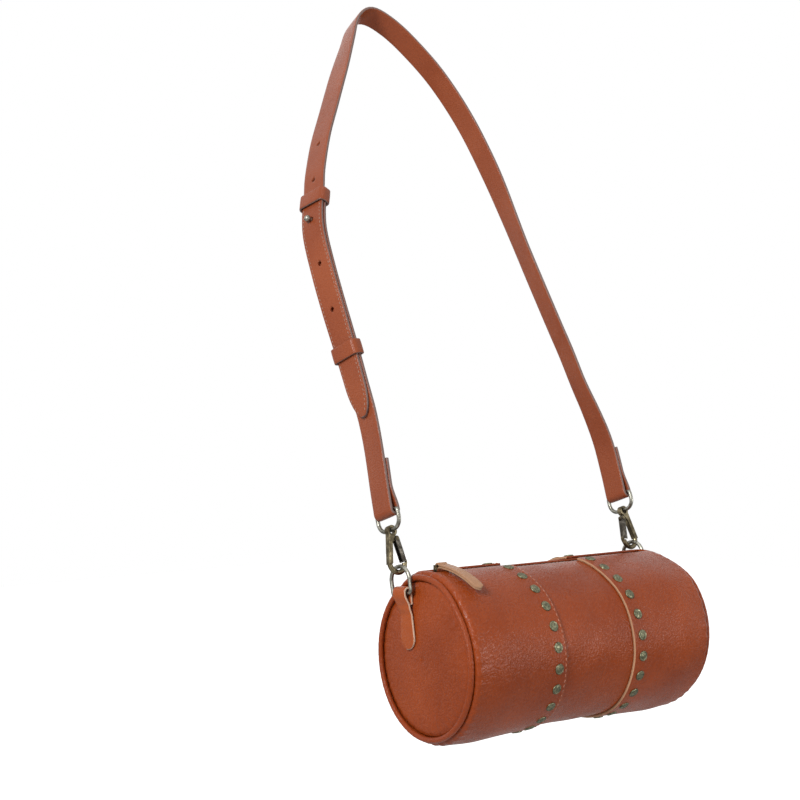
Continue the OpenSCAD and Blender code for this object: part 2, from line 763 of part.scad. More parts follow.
module right_gate() {
    gate(1);
}

module gate_pin(side) {
    head_t = gate_wall / 2;
    color(brass) at_hook(side) translate([pivot[0], 0, pivot[1]]) rotate([90, 0, 0]) {
        cylinder(r = gate_pin_r, h = hook_t + 2 * seat, center = true, $fn = 24);
        for (s = [-1, 1])
            translate([0, 0, s * (hook_t / 2 + seat + head_t / 2)])
                cylinder(r = 2 * gate_pin_r - seat, h = head_t, center = true, $fn = 24);
    }
}

module left_gate_pin() {
    gate_pin(-1);
}

module right_gate_pin() {
    gate_pin(1);
}

// A leaf spring inside the gate's channel, bearing on the round tongue
module gate_spring(side) {
    run = gate_foot - pivot;
    tilt = atan2(run[0], -run[1]);
    leaf_t = gate_wall / 2;
    wall = gate_w / 2 - gate_wall - seat;
    color(brass) at_hook(side) translate([pivot[0], 0, pivot[1]]) rotate([0, -tilt, 0])
        hook_plate(tongue_t - 2 * seat) polygon([[wall, -2 * tongue_r], [wall, -3 * tongue_r],
            [wall - leaf_t, -3 * tongue_r], [wall - leaf_t, -2 * tongue_r],
            [-leaf_t, -tongue_r - 2 * leaf_t], [-2 * leaf_t, -tongue_r - leaf_t], [0, -tongue_r - seat],
            [leaf_t, -tongue_r - leaf_t - seat]]);
}

module left_gate_spring() {
    gate_spring(-1);
}

module right_gate_spring() {
    gate_spring(1);
}

// The strap: where its ends turn round the bars of the rings
function chain_bar(side) = [side * chain_x, -strap_out + (side > 0 ? right_lift * sin(lean) : 0),
    -strap_rise + (side > 0 ? right_lift * cos(lean) : 0)];
pull_dir = [0, sin(lean), cos(lean)];
pull_across = [0, -cos(lean), sin(lean)];
bend_r = d_wire / 2 + fold_clear + strap_t / 2;
bend_steps = 10;
leg_steps = 8;

// Stations round the bar: flip is 1 where the band's outer face is outside the bend
function bend_stations(bar, flip, half) = [for (i = [0:bend_steps])
    let (a = 180 + 180 * i / bend_steps, out = [cos(a), 0, 0] + sin(a) * pull_dir)
    [bar + bend_r * out, pull_across, flip * out, half]];

// Stations of the folded-back end, which closes up to the ply that it came from
function leg_stations(from, step, off, turn, half) = [for (i = [1:leg_steps])
    let (f = i / leg_steps, g = min(1, 2 * f), blend = (1 - cos(180 * g)) / 2,
        away = 2 * bend_r - blend * (2 * bend_r - strap_t - ply_gap),
        st = station(from + step * f * fold_back, off + turn * away, half))
    [st[0], st[1], -st[2], half]];

module long_strap() {
    from = tip_at;
    to = route_len - bend_r;
    steps = ceil((to - from - tip_len) / hole_pitch * 3);
    half = strap_w / 2;
    taper_shares = [0, 0.04, 0.12, 0.25, 0.42, 0.62, 0.82];
    stations = concat(
        [for (f = taper_shares) station(from + f * tip_len, strap_t / 2,
            half * sqrt(1 - pow((1 - f) * 0.97, 2)))],
        [for (i = [0:steps]) station(from + tip_len + (to - from - tip_len) * i / steps, strap_t / 2, half)],
        bend_stations(chain_bar(1), -1, half),
        leg_stations(route_len, -1, strap_t / 2, 1, half));
    color(cognac) difference() {
        band(stations);
        for (i = [0:hole_count - 1])
            at_strap(from + first_hole + i * hole_pitch) rotate([90, 0, 0])
                cylinder(r = hole_r, h = 4 * strap_t, center = true, $fn = 24);
    }
}

module short_strap() {
    top = tip_at + upper_keeper_at + upper_keeper_w / 2;
    steps = ceil(top / hole_pitch * 3);
    off = -ply_gap - strap_t / 2;
    half = strap_w / 2;
    stations = concat(
        [for (i = [0:steps - 1]) station(top + (bend_r - top) * i / steps, off, half)],
        bend_stations(chain_bar(-1), 1, half),
        leg_stations(0, 1, off, -1, half));
    turned = [for (st = stations) [st[0], -st[1], st[2], st[3]]];
    color(cognac) difference() {
        band(turned);
        at_strap(tip_at + first_hole + 2 * hole_pitch) rotate([90, 0, 0])
            cylinder(r = stud_neck_r, h = 4 * strap_t, center = true, $fn = 24);
    }
}

// The ball stud stands through a hole of the long strap
module strap_stud() {
    foot = ply_gap + strap_t + seat;
    neck = strap_t + ply_gap;
    color(brass) at_strap(tip_at + first_hole + 2 * hole_pitch) rotate([-90, 0, 0]) {
        translate([0, 0, -foot - stud_foot_t]) cylinder(r = stud_foot_r, h = stud_foot_t, $fn = 32);
        translate([0, 0, -foot]) cylinder(r = stud_neck_r, h = foot + neck + stud_ball_r, $fn = 24);
        translate([0, 0, neck + stud_ball_r]) sphere(r = stud_ball_r, $fn = 32);
    }
}

// Keepers: a strip sewn into a loop round both parts of the strap
module keeper(at, width) {
    inner_w = strap_w + 2 * keeper_clear;
    low = -ply_gap - strap_t - keeper_clear;
    high = strap_t + keeper_clear;
    color(cognac) at_strap(tip_at + at) difference() {
        translate([-inner_w / 2 - keeper_t, low - keeper_t, -width / 2])
            cube([inner_w + 2 * keeper_t, high - low + 2 * keeper_t, width]);
        translate([-inner_w / 2, low, -width])
            cube([inner_w, high - low, 2 * width]);
    }
}

module upper_keeper() {
    keeper(upper_keeper_at, upper_keeper_w);
}

module lower_keeper() {
    keeper(lower_keeper_at, lower_keeper_w);
}

left_panel();
centre_panel();
right_panel();
left_end_disc();
right_end_disc();
left_piping();
right_piping();
lining_barrel();
left_lining_end();
right_lining_end();
front_zip_tape();
back_zip_tape();
front_zip_teeth();
back_zip_teeth();
zip_stops();
zip_slider();
zip_pull();
left_rivets();
right_rivets();
left_tab();
right_tab();
left_tab_ring();
right_tab_ring();
left_hook();
right_hook();
left_gate();
right_gate();
left_gate_pin();
right_gate_pin();
left_gate_spring();
right_gate_spring();
left_strap_ring();
right_strap_ring();
long_strap();
short_strap();
strap_stud();
upper_keeper();
lower_keeper();
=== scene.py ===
# %% [markdown]
# # A leather barrel bag on its crossbody strap
# The bag is a cylinder of soft cowhide in three panels. Two side panels lap over a centre panel and are
# riveted to it, each end is closed by a piped disc, and a zip runs along the top. Snap hooks clip the bag
# to an adjustable strap. The solid model that comes with this file holds every size and every joint.
# This lesson keeps those places and gives each piece the shape and finish that real leather and brass have.
# Lengths are in millimetres until a mesh is made, x runs along the barrel and z is up.

# %% Open the solid model
import json
import bmesh
import bpy
import numpy as np
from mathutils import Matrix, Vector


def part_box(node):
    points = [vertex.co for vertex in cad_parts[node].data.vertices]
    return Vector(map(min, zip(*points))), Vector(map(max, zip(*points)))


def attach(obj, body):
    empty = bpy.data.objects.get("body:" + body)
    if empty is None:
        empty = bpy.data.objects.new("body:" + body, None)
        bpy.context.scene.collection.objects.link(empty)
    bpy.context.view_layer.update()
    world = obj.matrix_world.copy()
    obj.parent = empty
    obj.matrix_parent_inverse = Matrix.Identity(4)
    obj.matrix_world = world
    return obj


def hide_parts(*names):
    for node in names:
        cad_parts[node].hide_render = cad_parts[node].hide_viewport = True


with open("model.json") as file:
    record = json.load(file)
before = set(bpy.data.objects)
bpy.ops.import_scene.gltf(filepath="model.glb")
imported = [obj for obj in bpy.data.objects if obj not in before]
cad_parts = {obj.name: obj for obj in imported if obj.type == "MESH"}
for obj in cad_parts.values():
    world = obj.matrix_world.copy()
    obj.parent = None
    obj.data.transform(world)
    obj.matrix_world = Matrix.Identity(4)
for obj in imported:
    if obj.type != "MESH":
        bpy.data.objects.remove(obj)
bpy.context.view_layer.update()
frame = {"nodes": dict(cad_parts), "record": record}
MM = 0.001
SIDES = ((-1, "left"), (1, "right"))
disc_low, disc_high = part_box("left_end_disc")
BAG = (np.array(disc_low) + np.array(disc_high)) / 2 / MM
BAG[0] = 0.0
print("bag centre in mm", BAG.round(2))

# %% [markdown]
# ## The camera
# The camera comes first, because every later choice is judged through it. The photograph was taken with a
# moderately long lens, nearly level, a little above the bag and to the left of its front. A 63 mm lens on
# a 36 mm sensor gives the same perspective.

# %% Camera
CAMERA_FROM_BAG = np.array([-769.6, -798.2, 193.7])
TILT_DOWN, TURN = 0.16, -38.05


def put(name, data):
    """A new object that holds the data, linked into the scene."""
    thing = bpy.data.objects.new(name, data)
    bpy.context.scene.collection.objects.link(thing)
    return thing


camera_data = bpy.data.cameras.new("camera")
camera_data.lens = 63.0
camera_data.sensor_width = 36.0
camera = put("camera", camera_data)
camera.location = tuple((BAG + CAMERA_FROM_BAG) * MM)
camera.rotation_euler = (np.radians(90 - TILT_DOWN), 0.0, np.radians(TURN))
bpy.context.scene.camera = camera
bpy.context.scene.view_settings.view_transform = "Standard"
print("camera at", [round(c, 4) for c in camera.location])

# %% [markdown]
# ## Meshes from arrays
# Nearly every piece of the bag is a surface with two directions: along a strap and round its section, or
# along the barrel and round it. So one helper turns a grid of points into quads, and another makes the mesh.
# A vertex attribute says how close a point is to a cut edge, where the hide shows its pale inside.

# %% Grid and mesh helpers
def grid_quads(rows, cols, wrap_rows=False, wrap_cols=False):
    """Quads of a grid: corner (i, j) joins (i+1, j), (i+1, j+1) and (i, j+1), and wraps where asked."""
    i = np.arange(rows if wrap_rows else rows - 1)
    j = np.arange(cols if wrap_cols else cols - 1)
    i, j = np.meshgrid(i, j, indexing="ij")
    ni, nj = (i + 1) % rows, (j + 1) % cols
    return np.stack([i * cols + j, ni * cols + j, ni * cols + nj, i * cols + nj], -1).reshape(-1, 4)


def fan(pole, ring):
    """Triangles from one point to each pair of neighbours in a closed ring of points."""
    return np.stack([np.full(len(ring), pole), ring, np.roll(ring, -1)], -1)


def repeated(faces, copies, points):
    """The same faces for each copy of a mesh that has the given number of points."""
    return (faces[None] + points * np.arange(copies)[:, None, None]).reshape(-1, faces.shape[1]).tolist()


def closed_mesh(name, points, faces):
    """A mesh from points in mm and a list of faces, all turned outwards."""
    mesh = bpy.data.meshes.new(name)
    mesh.from_pydata((points.reshape(-1, 3) * MM).tolist(), [], [list(map(int, face)) for face in faces])
    work = bmesh.new()
    work.from_mesh(mesh)
    bmesh.ops.recalc_face_normals(work, faces=work.faces)
    work.to_mesh(mesh)
    work.free()
    return mesh


def make_piece(name, points, faces, body, material, nodes=(), edge=None):
    """A smooth piece on a body that stands for the named solids; edge becomes the attribute cut_edge."""
    mesh = closed_mesh(name, points, faces)
    if edge is not None:
        layer = mesh.attributes.new("cut_edge", "FLOAT", "POINT")
        layer.data.foreach_set("value", np.asarray(edge, dtype=np.float32).ravel())
    mesh.shade_smooth()
    mesh.materials.append(material)
    piece = put(name, mesh)
    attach(piece, body)
    if nodes:
        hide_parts(*nodes)
    print(name, "rides", body, "with", len(mesh.polygons), "faces")
    return piece


def smooth_step(value, low, high):
    """0 below low, 1 above high, and 3t^2 - 2t^3 between them."""
    t = np.clip((value - low) / (high - low), 0, 1)
    return t * t * (3 - 2 * t)


def full_turn(count):
    """Evenly spaced angles once round."""
    return np.linspace(0, 2 * np.pi, count, endpoint=False)


def unit(vectors):
    """Each row divided by its own length."""
    return vectors / np.linalg.norm(vectors, axis=1, keepdims=True)


# %% [markdown]
# ## Node helpers
# Materials are small graphs. Each effect that several materials use, such as pebbled grain, is a node group
# with named inputs. The group puts out colours, masks and heights, and the Principled shader stays in the
# material itself.

# %% Graph helper
class Graph:
    """A thin wrapper that adds nodes to a tree and links them by socket name."""

    def __init__(self, tree):
        self.tree = tree

    def feed(self, socket, item):
        """Sets a socket to a number or a colour, or links an output into it."""
        if isinstance(item, (int, float)):
            socket.default_value = item
        elif isinstance(item, tuple):
            socket.default_value = (*item, 1.0)
        else:
            self.tree.links.new(item, socket)

    def add(self, kind, links=(), **values):
        """A node with its links; each value goes to the input of that name, or else to the setting."""
        node = self.tree.nodes.new(kind)
        for key, value in values.items():
            if key in node.inputs:
                node.inputs[key].default_value = value
            else:
                setattr(node, key, value)
        for socket, source in dict(links).items():
            self.tree.links.new(source, node.inputs[socket])
        return node

    def place(self):
        """The place in the piece's own frame, in metres."""
        return self.add("ShaderNodeTexCoord").outputs["Object"]

    def noise(self, place, scale, detail=2.0, roughness=0.5):
        """Smooth noise between 0 and 1."""
        values = {"Scale": scale, "Detail": detail, "Roughness": roughness}
        return self.add("ShaderNodeTexNoise", {"Vector": place}, **values).outputs["Fac"]

    def maths(self, operation, first, second=0.5, clamp=False):
        """One step of arithmetic on two outputs or numbers."""
        node = self.add("ShaderNodeMath", operation=operation, use_clamp=clamp)
        self.feed(node.inputs[0], first)
        self.feed(node.inputs[1], second)
        return node.outputs[0]

    def mix(self, factor, first, second, blend="MIX"):
        """Two colours mixed by a factor. For colours the node's sockets are 0, 6 and 7, and its output 2."""
        node = self.add("ShaderNodeMix", data_type="RGBA", blend_type=blend)
        for index, item in ((0, factor), (6, first), (7, second)):
            self.feed(node.inputs[index], item)
        return node.outputs[2]

    def ramp(self, source, low, high):
        """(source - low) / (high - low), held between 0 and 1."""
        span = {"From Min": low, "From Max": high}
        return self.add("ShaderNodeMapRange", {"Value": source}, **span).outputs["Result"]


def new_group(name, colours, numbers):
    """A node group: Vector and the named colours and numbers in, Color, Roughness and Height out."""
    group = bpy.data.node_groups.new(name, "ShaderNodeTree")
    sockets = [("INPUT", "Vector", ["Vector"]), ("INPUT", "Color", colours), ("INPUT", "Float", numbers),
               ("OUTPUT", "Color", ["Color"]), ("OUTPUT", "Float", ["Roughness", "Height"])]
    for way, kind, names in sockets:
        for socket in names:
            group.interface.new_socket(socket, in_out=way, socket_type="NodeSocket" + kind)
    graph = Graph(group)
    return group, graph, graph.add("NodeGroupInput").outputs, graph.add("NodeGroupOutput").inputs


def use_group(graph, group, place, **values):
    """The outputs of a group at a place, its other sockets set to the values."""
    node = graph.add("ShaderNodeGroup", node_tree=group)
    graph.feed(node.inputs["Vector"], place)
    for socket, value in values.items():
        graph.feed(node.inputs[socket], value)
    return node.outputs


def new_material(name):
    """A material, its graph and the inputs of its Principled shader."""
    material = bpy.data.materials.new(name)
    material.use_nodes = True
    return material, Graph(material.node_tree), material.node_tree.nodes["Principled BSDF"].inputs


def add_bump(graph, shader, height, strength, relief):
    """Bends the shader's normal by a height whose full range is relief, in metres."""
    node = graph.add("ShaderNodeBump", {"Height": height}, Strength=strength, Distance=relief)
    graph.feed(shader["Normal"], node.outputs["Normal"])


# %% [markdown]
# ## Leather grain
# Milled cowhide has pebbles about a millimetre across, parted by fine creases, and the grain is strong in
# some places and nearly smooth in others. Voronoi cells give the pebbles, a second smaller set breaks them
# up, and a stretched noise adds the pull wrinkles. A slow noise moves the dye from reddish brown to tan, and
# a quicker one sets how strong the grain is. The colour also carries painted light: the pebble tops are
# lightened as a painted highlight, and the hollows and creases are darkened as painted shade.

# %% Leather grain group
grain_group, g, gin, gout = new_group("milled_grain", ["Dark", "Middle", "Light"],
                                      ["Cells", "Wrinkle", "Depth"])
vector = gin["Vector"]
slow = g.noise(vector, 17.0, 3.0)
patch = g.noise(vector, 60.0, 4.0)
bend_noise = g.add("ShaderNodeTexNoise", {"Vector": vector}, Scale=240.0, Detail=1.0).outputs["Color"]
bend = g.add("ShaderNodeVectorMath", {0: bend_noise}, operation="SCALE", Scale=0.002).outputs[0]
bent = g.add("ShaderNodeVectorMath", {0: vector, 1: bend}, operation="ADD").outputs[0]
cells = g.add("ShaderNodeTexVoronoi", {"Vector": bent, "Scale": gin["Cells"]}, feature="SMOOTH_F1",
              Smoothness=0.3).outputs["Distance"]
small = g.maths("MULTIPLY", gin["Cells"], 2.3)
fine = g.add("ShaderNodeTexVoronoi", {"Vector": bent, "Scale": small}, feature="F1").outputs["Distance"]
stretch = g.add("ShaderNodeMapping", {"Vector": bent}, Scale=(150.0, 360.0, 360.0)).outputs[0]
pull = g.noise(stretch, 1.0, 5.0, 0.62)
ridge = g.maths("ABSOLUTE", g.maths("SUBTRACT", pull, 0.5))
crease = g.maths("SUBTRACT", 1.0, g.ramp(ridge, 0.0, 0.055))
crease = g.maths("MULTIPLY", crease, gin["Wrinkle"])
pebble = g.maths("SUBTRACT", 1.0, g.ramp(cells, 0.28, 0.8))
strength = g.maths("ADD", g.maths("MULTIPLY", g.ramp(patch, 0.32, 0.62), 0.6), 0.4)
body_height = g.maths("SUBTRACT", pebble, g.maths("MULTIPLY", fine, 0.07))
height = g.maths("SUBTRACT", g.maths("MULTIPLY", body_height, strength), g.maths("MULTIPLY", crease, 0.4))
dye = g.mix(g.ramp(slow, 0.36, 0.64), gin["Dark"], gin["Middle"])
# Painted highlight: the pebble tops are lightened towards the third colour, whatever the lamps do.
painted_light_tops = g.maths("MULTIPLY", g.ramp(height, 0.35, 0.9), 0.3)
dye_and_painted_top_light = g.mix(g.maths("MULTIPLY", painted_light_tops, gin["Depth"]), dye, gin["Light"])
# Painted shade: the cell hollows and the pull creases darken the colour towards (0.62, 0.52, 0.50) of it. The
# same mask also makes them rougher.
hollows = g.maths("MULTIPLY", g.ramp(cells, 0.4, 0.8), 0.5)
painted_pore_shade_and_roughness = g.maths("MAXIMUM", hollows, g.maths("MULTIPLY", crease, 0.3))
painted_pore_shade_and_roughness = g.maths("MULTIPLY", painted_pore_shade_and_roughness, gin["Depth"])
shade = g.mix(painted_pore_shade_and_roughness, (1.0, 1.0, 1.0), (0.62, 0.52, 0.50))
rough = g.maths("ADD", g.maths("MULTIPLY", patch, 0.24), g.maths("MULTIPLY", painted_pore_shade_and_roughness, 0.4))
g.feed(gout["Color"], g.mix(1.0, dye_and_painted_top_light, shade, "MULTIPLY"))
g.feed(gout["Roughness"], g.maths("ADD", rough, 0.11))
g.feed(gout["Height"], height)
print("grain group has", len(grain_group.nodes), "nodes")


# %% [markdown]
# ## Finishes
# One function makes every leather of the bag. The cut_edge attribute blends in the raw edge: pale, matt and
# fibrous. The hide is waxed, so its highlights are soft, pinkish and broken up by the pebbles.

# %% Leather material
# depth sets how strong the painted highlight on the pebble tops and the painted shade in the hollows and
# creases are, and how much rougher the hollows are.
def leather(name, dark, middle, light, cells=640.0, bump=1.0, wrinkle=0.6, depth=1.0,
            raw=(0.50, 0.26, 0.13), relief=0.0004):
    """Principled leather: grain group for colour, roughness and bump, raw edge mixed in by cut_edge."""
    material, graph, shader = new_material(name)
    place = graph.place()
    grain = use_group(graph, grain_group, place, Dark=dark, Middle=middle, Light=light, Cells=cells,
                      Wrinkle=wrinkle, Depth=depth)
    edge = graph.add("ShaderNodeAttribute", attribute_name="cut_edge").outputs["Fac"]
    fibre = graph.noise(place, 900.0)
    edge = graph.ramp(graph.maths("ADD", edge, graph.maths("MULTIPLY", fibre, 0.3)), 0.55, 0.85)
    raw_tone = graph.mix(fibre, tuple(0.72 * c for c in raw), raw)
    rough = graph.maths("ADD", grain["Roughness"], graph.maths("MULTIPLY", edge, 0.35), clamp=True)
    graph.feed(shader["Base Color"], graph.mix(edge, grain["Color"], raw_tone))
    graph.feed(shader["Roughness"], rough)
    graph.feed(shader["IOR"], 1.3)
    add_bump(graph, shader, grain["Height"], bump, relief)
    return material


body_leather = leather("barrel_leather", (0.25, 0.040, 0.006), (0.315, 0.054, 0.009), (0.43, 0.098, 0.026),
                       depth=0.55, raw=(0.54, 0.31, 0.18), relief=0.00021)
strap_leather = leather("belt_leather", (0.25, 0.056, 0.020), (0.30, 0.073, 0.027), (0.37, 0.105, 0.045),
                        cells=1000.0, bump=0.35, wrinkle=0.4, depth=0.5, raw=(0.24, 0.16, 0.14))
tab_leather = leather("tab_leather", (0.33, 0.062, 0.012), (0.38, 0.078, 0.016), (0.46, 0.12, 0.032),
                      cells=900.0, bump=0.4, wrinkle=0.5, depth=0.6, raw=(0.84, 0.63, 0.47))
piping_leather = leather("rim_leather", (0.25, 0.040, 0.007), (0.31, 0.054, 0.010), (0.42, 0.10, 0.028),
                         cells=900.0, bump=0.5, depth=0.8)
pull_leather = leather("pull_leather", (0.40, 0.19, 0.09), (0.48, 0.25, 0.13), (0.58, 0.33, 0.18),
                       cells=1100.0, bump=0.5, wrinkle=1.0, raw=(0.46, 0.27, 0.16))
print("leathers:", [m.name for m in bpy.data.materials if "leather" in m.name])

# %% [markdown]
# ## Antique brass
# The fittings are brass that was blackened and then rubbed, so the high spots are bright and a greenish
# brown stays in the hollows. The group mixes the two metals with a patchy noise and roughens the dark one.

# %% Antique brass group and materials
brass_group, g, gin, gout = new_group("rubbed_brass", ["Bright", "Dull"], ["Size", "Rubbed"])
broad = g.add("ShaderNodeTexNoise", {"Vector": gin["Vector"], "Scale": gin["Size"]}, Detail=5.0,
              Roughness=0.65).outputs["Fac"]
pits = g.noise(gin["Vector"], 2600.0)
level = g.maths("ADD", broad, g.maths("MULTIPLY", g.maths("SUBTRACT", gin["Rubbed"], 0.5), 0.6))
mask = g.ramp(g.maths("ADD", level, g.maths("MULTIPLY", pits, 0.12)), 0.46, 0.68)
g.feed(gout["Color"], g.mix(mask, gin["Dull"], gin["Bright"]))
g.feed(gout["Roughness"], g.maths("SUBTRACT", 0.52, g.maths("MULTIPLY", mask, 0.24)))
g.feed(gout["Height"], g.maths("ADD", pits, g.maths("MULTIPLY", mask, 0.5)))


def brass(name, bright, dull, size, rubbed):
    """Metal whose colour, roughness and bump come from the rubbed_brass group."""
    material, graph, shader = new_material(name)
    metal = use_group(graph, brass_group, graph.place(), Bright=bright, Dull=dull, Size=size, Rubbed=rubbed)
    graph.feed(shader["Base Color"], metal["Color"])
    graph.feed(shader["Roughness"], metal["Roughness"])
    graph.feed(shader["Metallic"], 1.0)
    add_bump(graph, shader, metal["Height"], 0.15, 0.0001)
    return material


ring_brass = brass("ring_brass", (0.36, 0.35, 0.30), (0.13, 0.125, 0.10), 420.0, 0.55)
hook_brass = brass("hook_brass", (0.27, 0.225, 0.135), (0.085, 0.068, 0.040), 180.0, 0.45)
gate_brass = brass("gate_brass", (0.20, 0.18, 0.15), (0.055, 0.048, 0.038), 180.0, 0.4)
rivet_brass = brass("rivet_brass", (0.27, 0.26, 0.165), (0.085, 0.088, 0.055), 700.0, 0.45)
zip_brass = brass("zip_brass", (0.30, 0.25, 0.15), (0.08, 0.065, 0.04), 700.0, 0.45)
print("metals:", [m.name for m in bpy.data.materials if "brass" in m.name])


# %% [markdown]
# ## Cloth and thread
# The zip tape and the lining are woven. A wave in each direction gives the rows of thread, and their product
# is the height. The gaps between the threads are darkened as painted shade. The sewing thread is waxed and a
# little paler than the hide.

# %% Woven cloth and thread
def woven(name, tone, rows):
    """Cloth: two crossed waves in Object coordinates make the threads."""
    material, graph, shader = new_material(name)
    place = graph.place()
    waves = [graph.add("ShaderNodeTexWave", {"Vector": place}, Scale=rows, bands_direction=axis).outputs["Fac"]
             for axis in "XY"]
    height = graph.maths("MULTIPLY", *waves)
    # Painted shade: where the threads dip, between them, the colour falls to 0.6 of the tone.
    graph.feed(shader["Base Color"], graph.mix(height, tuple(0.6 * c for c in tone), tone))
    graph.feed(shader["Roughness"], 0.85)
    graph.feed(shader["Sheen Weight"], 0.2)
    add_bump(graph, shader, height, 0.5, 0.0002)
    return material


def thread(name, dark, light):
    """Waxed thread: two tones mixed by a fine noise, matt."""
    material, graph, shader = new_material(name)
    graph.feed(shader["Base Color"], graph.mix(graph.noise(graph.place(), 1500.0), dark, light))
    graph.feed(shader["Roughness"], 0.6)
    return material


tape_cloth = woven("tape_cloth", (0.10, 0.05, 0.035), 380.0)
lining_cloth = woven("lining_cloth", (0.16, 0.11, 0.08), 260.0)
belt_thread = thread("belt_thread", (0.22, 0.10, 0.065), (0.42, 0.27, 0.21))
bag_thread = thread("bag_thread", (0.30, 0.085, 0.04), (0.56, 0.25, 0.17))
print("cloth and thread:", [m.name for m in (tape_cloth, lining_cloth, belt_thread, bag_thread)])

# %% [markdown]
# ## The barrel
# A soft barrel isn't a true cylinder. It is a little slim at the zip's start, full in the middle, and it has
# slow waves where the hide relaxes. All three panels share one function of place, so the layers stay
# together. Each panel is a closed shell: an outer line and an inner line, carried round the barrel from one
# side of the zip slot to the other.
#
# RADIUS and HALF are the barrel's radius and half its leather's length. SEAM and LAP say how far from the
# middle a side panel starts and the centre panel ends. WALL is the hide, ROLL the radius of the rolled rim,
# TURN_IN how far the panel's edge turns in, and SLOT half the zip slot. Each end slants about TAB_Y.

# %% The barrel's shape
RADIUS, HALF, SEAM, LAP = 65.0, 119.0, 36.5, 50.5
WALL, ROLL, TURN_IN = 2.0, 4.0, 11.0
SLOT, TAB_Y, SLANT = 6.0, 20.0, {-1: 0.07, 1: 0.015}
SLOT_ANGLE = np.arcsin(SLOT / RADIUS)


def relax(x, angle):
    """Small offset of the surface in mm: slow waves round the barrel and puckers beside the end seams."""
    waves = 0.3 * np.sin(2 * angle + 0.02 * x) * np.cos(0.028 * x + 1.1) + 0.22 * np.sin(5 * angle + 0.06 * x)
    waves = waves + 0.16 * np.sin(9 * angle + 0.11 * x + 1.5 * np.sin(0.05 * x))
    near_end = np.exp(-((HALF - np.abs(x)) / 7.0) ** 2)
    pucker = 0.3 * np.sin(46 * angle + 1.7 * np.sin(3 * angle)) * near_end
    away = smooth_step(1 - np.cos(angle), 0.004, 0.05)
    return away * (waves * smooth_step(HALF - np.abs(x), 0, 40) + pucker)


def settle(x, radius, angle):
    """Swell in mm of the soft barrel: slimmer at the zip's start, fuller at its end, none at the zip itself."""
    share = x / HALF
    shoulder = 2.6 * (1 - smooth_step(HALF - np.abs(x), -4, 30))
    ends = 1.9 + 2.3 * share - 2.8 * np.clip(1 - share ** 2, 0, 1) - shoulder
    crown = (0.6 + 1.1 * share) * np.cos(angle) + 0.6 * np.sin(angle)
    past = 1 - np.cos(angle)
    free = np.where(np.sin(angle) > 0, smooth_step(past, 0.01, 0.36), smooth_step(past, 0.003, 0.14))
    return free * (ends + crown) * radius / RADIUS


def around(x, radius, angle):
    """Place in mm from x, radius and angle: the radius swells, both ends slant and the seams drift a little."""
    radius = radius + settle(x, radius, angle)
    y = -radius * np.sin(angle)
    share = x / HALF
    slant = (y - TAB_Y) * (SLANT[-1] * smooth_step(-share, 0.3, 1) + SLANT[1] * smooth_step(share, 0.3, 1))
    drift = -(3.3 + 3.3 * np.cos(angle) + 2.9 * share) * np.clip(1 - share ** 2, 0, 1)
    return BAG + np.stack([x + slant + drift, y, radius * np.cos(angle)], -1)


def leaning(angle):
    """Directions (0, sin, cos) and (0, -cos, sin): up and across in a plane that leans by each angle."""
    sine, cosine, zero = np.sin(angle), np.cos(angle), np.zeros_like(angle)
    return np.stack([zero, sine, cosine], -1), np.stack([zero, -cosine, sine], -1)


def panel(name, outer, inner, node, steps=300, low=SLOT_ANGLE, high=2 * np.pi - SLOT_ANGLE):
    """Shell between two lines of (x, radius, share of relax, cut edge), turned round the barrel."""
    x, radius, share, cut = np.array(outer + inner[::-1]).T[..., None]
    turn = np.linspace(low, high, steps)
    points = around(x, radius + share * relax(x, turn), turn)
    faces = grid_quads(len(x), steps, wrap_rows=True).tolist()
    first = np.arange(len(outer) - 1)
    mate = len(x) - 1 - first
    for column in (0, steps - 1):
        corners = np.stack([first, first + 1, mate - 1, mate], -1) * steps + column
        faces += corners.tolist()
    make_piece(name, points, faces, "bag", body_leather, (node,), cut + 0 * turn)


# %% The three panels
def side_lines(side):
    """Outer and inner line of a side panel, from its seam edge over the rolled rim to its turned-in edge."""
    run = np.concatenate([[SEAM, SEAM + 0.25, SEAM + 0.9], np.linspace(SEAM + 2.5, HALF - ROLL, 46)])
    plain = [0.0] * (len(run) - 2)
    drops, cuts = [0.45, 0.12] + plain, [1.0, 0.6] + plain
    outer = [(side * x, RADIUS - drop, 1.0, cut) for x, drop, cut in zip(run, drops, cuts)]
    inner = [(side * x, RADIUS - WALL, 1.0, cut) for x, cut in zip(run, [1.0, 0.0] + plain)]
    arc = np.radians(np.linspace(0, 90, 9))[1:]
    start, middle = HALF - ROLL, RADIUS - ROLL
    for line, bend, end in ((outer, ROLL, HALF), (inner, ROLL - WALL, HALF - WALL)):
        line += [(side * (start + bend * np.sin(a)), middle + bend * np.cos(a), 1.0, 0.0) for a in arc]
        line += [(side * end, RADIUS - 6.5, 0.7, 0.0), (side * end, RADIUS - TURN_IN, 0.3, 0.0)]
    return outer, inner


# The bridge closes the rim across the zip's end with the last points of the same lines: the roll's start,
# its 8 steps and the 2 points of the turned-in edge.
RIM_POINTS = 11
for side, word in SIDES:
    panel(word + "_panel_shell", *side_lines(side), word + "_panel")
for side, word in SIDES:
    outer, inner = (line[-RIM_POINTS:] for line in side_lines(side))
    panel(word + "_rim_bridge", outer, inner, word + "_panel", steps=12, low=-SLOT_ANGLE, high=SLOT_ANGLE)
centre_run = np.linspace(-LAP, LAP, 61)
faces_of_hide = ([(x, RADIUS - depth, 1.0, 0.0) for x in centre_run] for depth in (2.1, 4.1))
panel("centre_panel_shell", *faces_of_hide, "centre_panel")

# %% [markdown]
# ## End discs and piping
# The disc is a crowned sheet. Where it is gathered into the seam it has short radial creases, which fade
# towards the middle. The piping is a tube of thin leather over a cord, so it puckers a little too.

# %% End discs
DISC_RADIUS, DISC_CROWN, DISC_FACE, DISC_BACK = 57.75, 1.5, HALF + 2.1, HALF + 0.15
PIPING_RADIUS, PIPING_TUBE, PIPING_X = 60.2, 2.28, HALF + 2.4


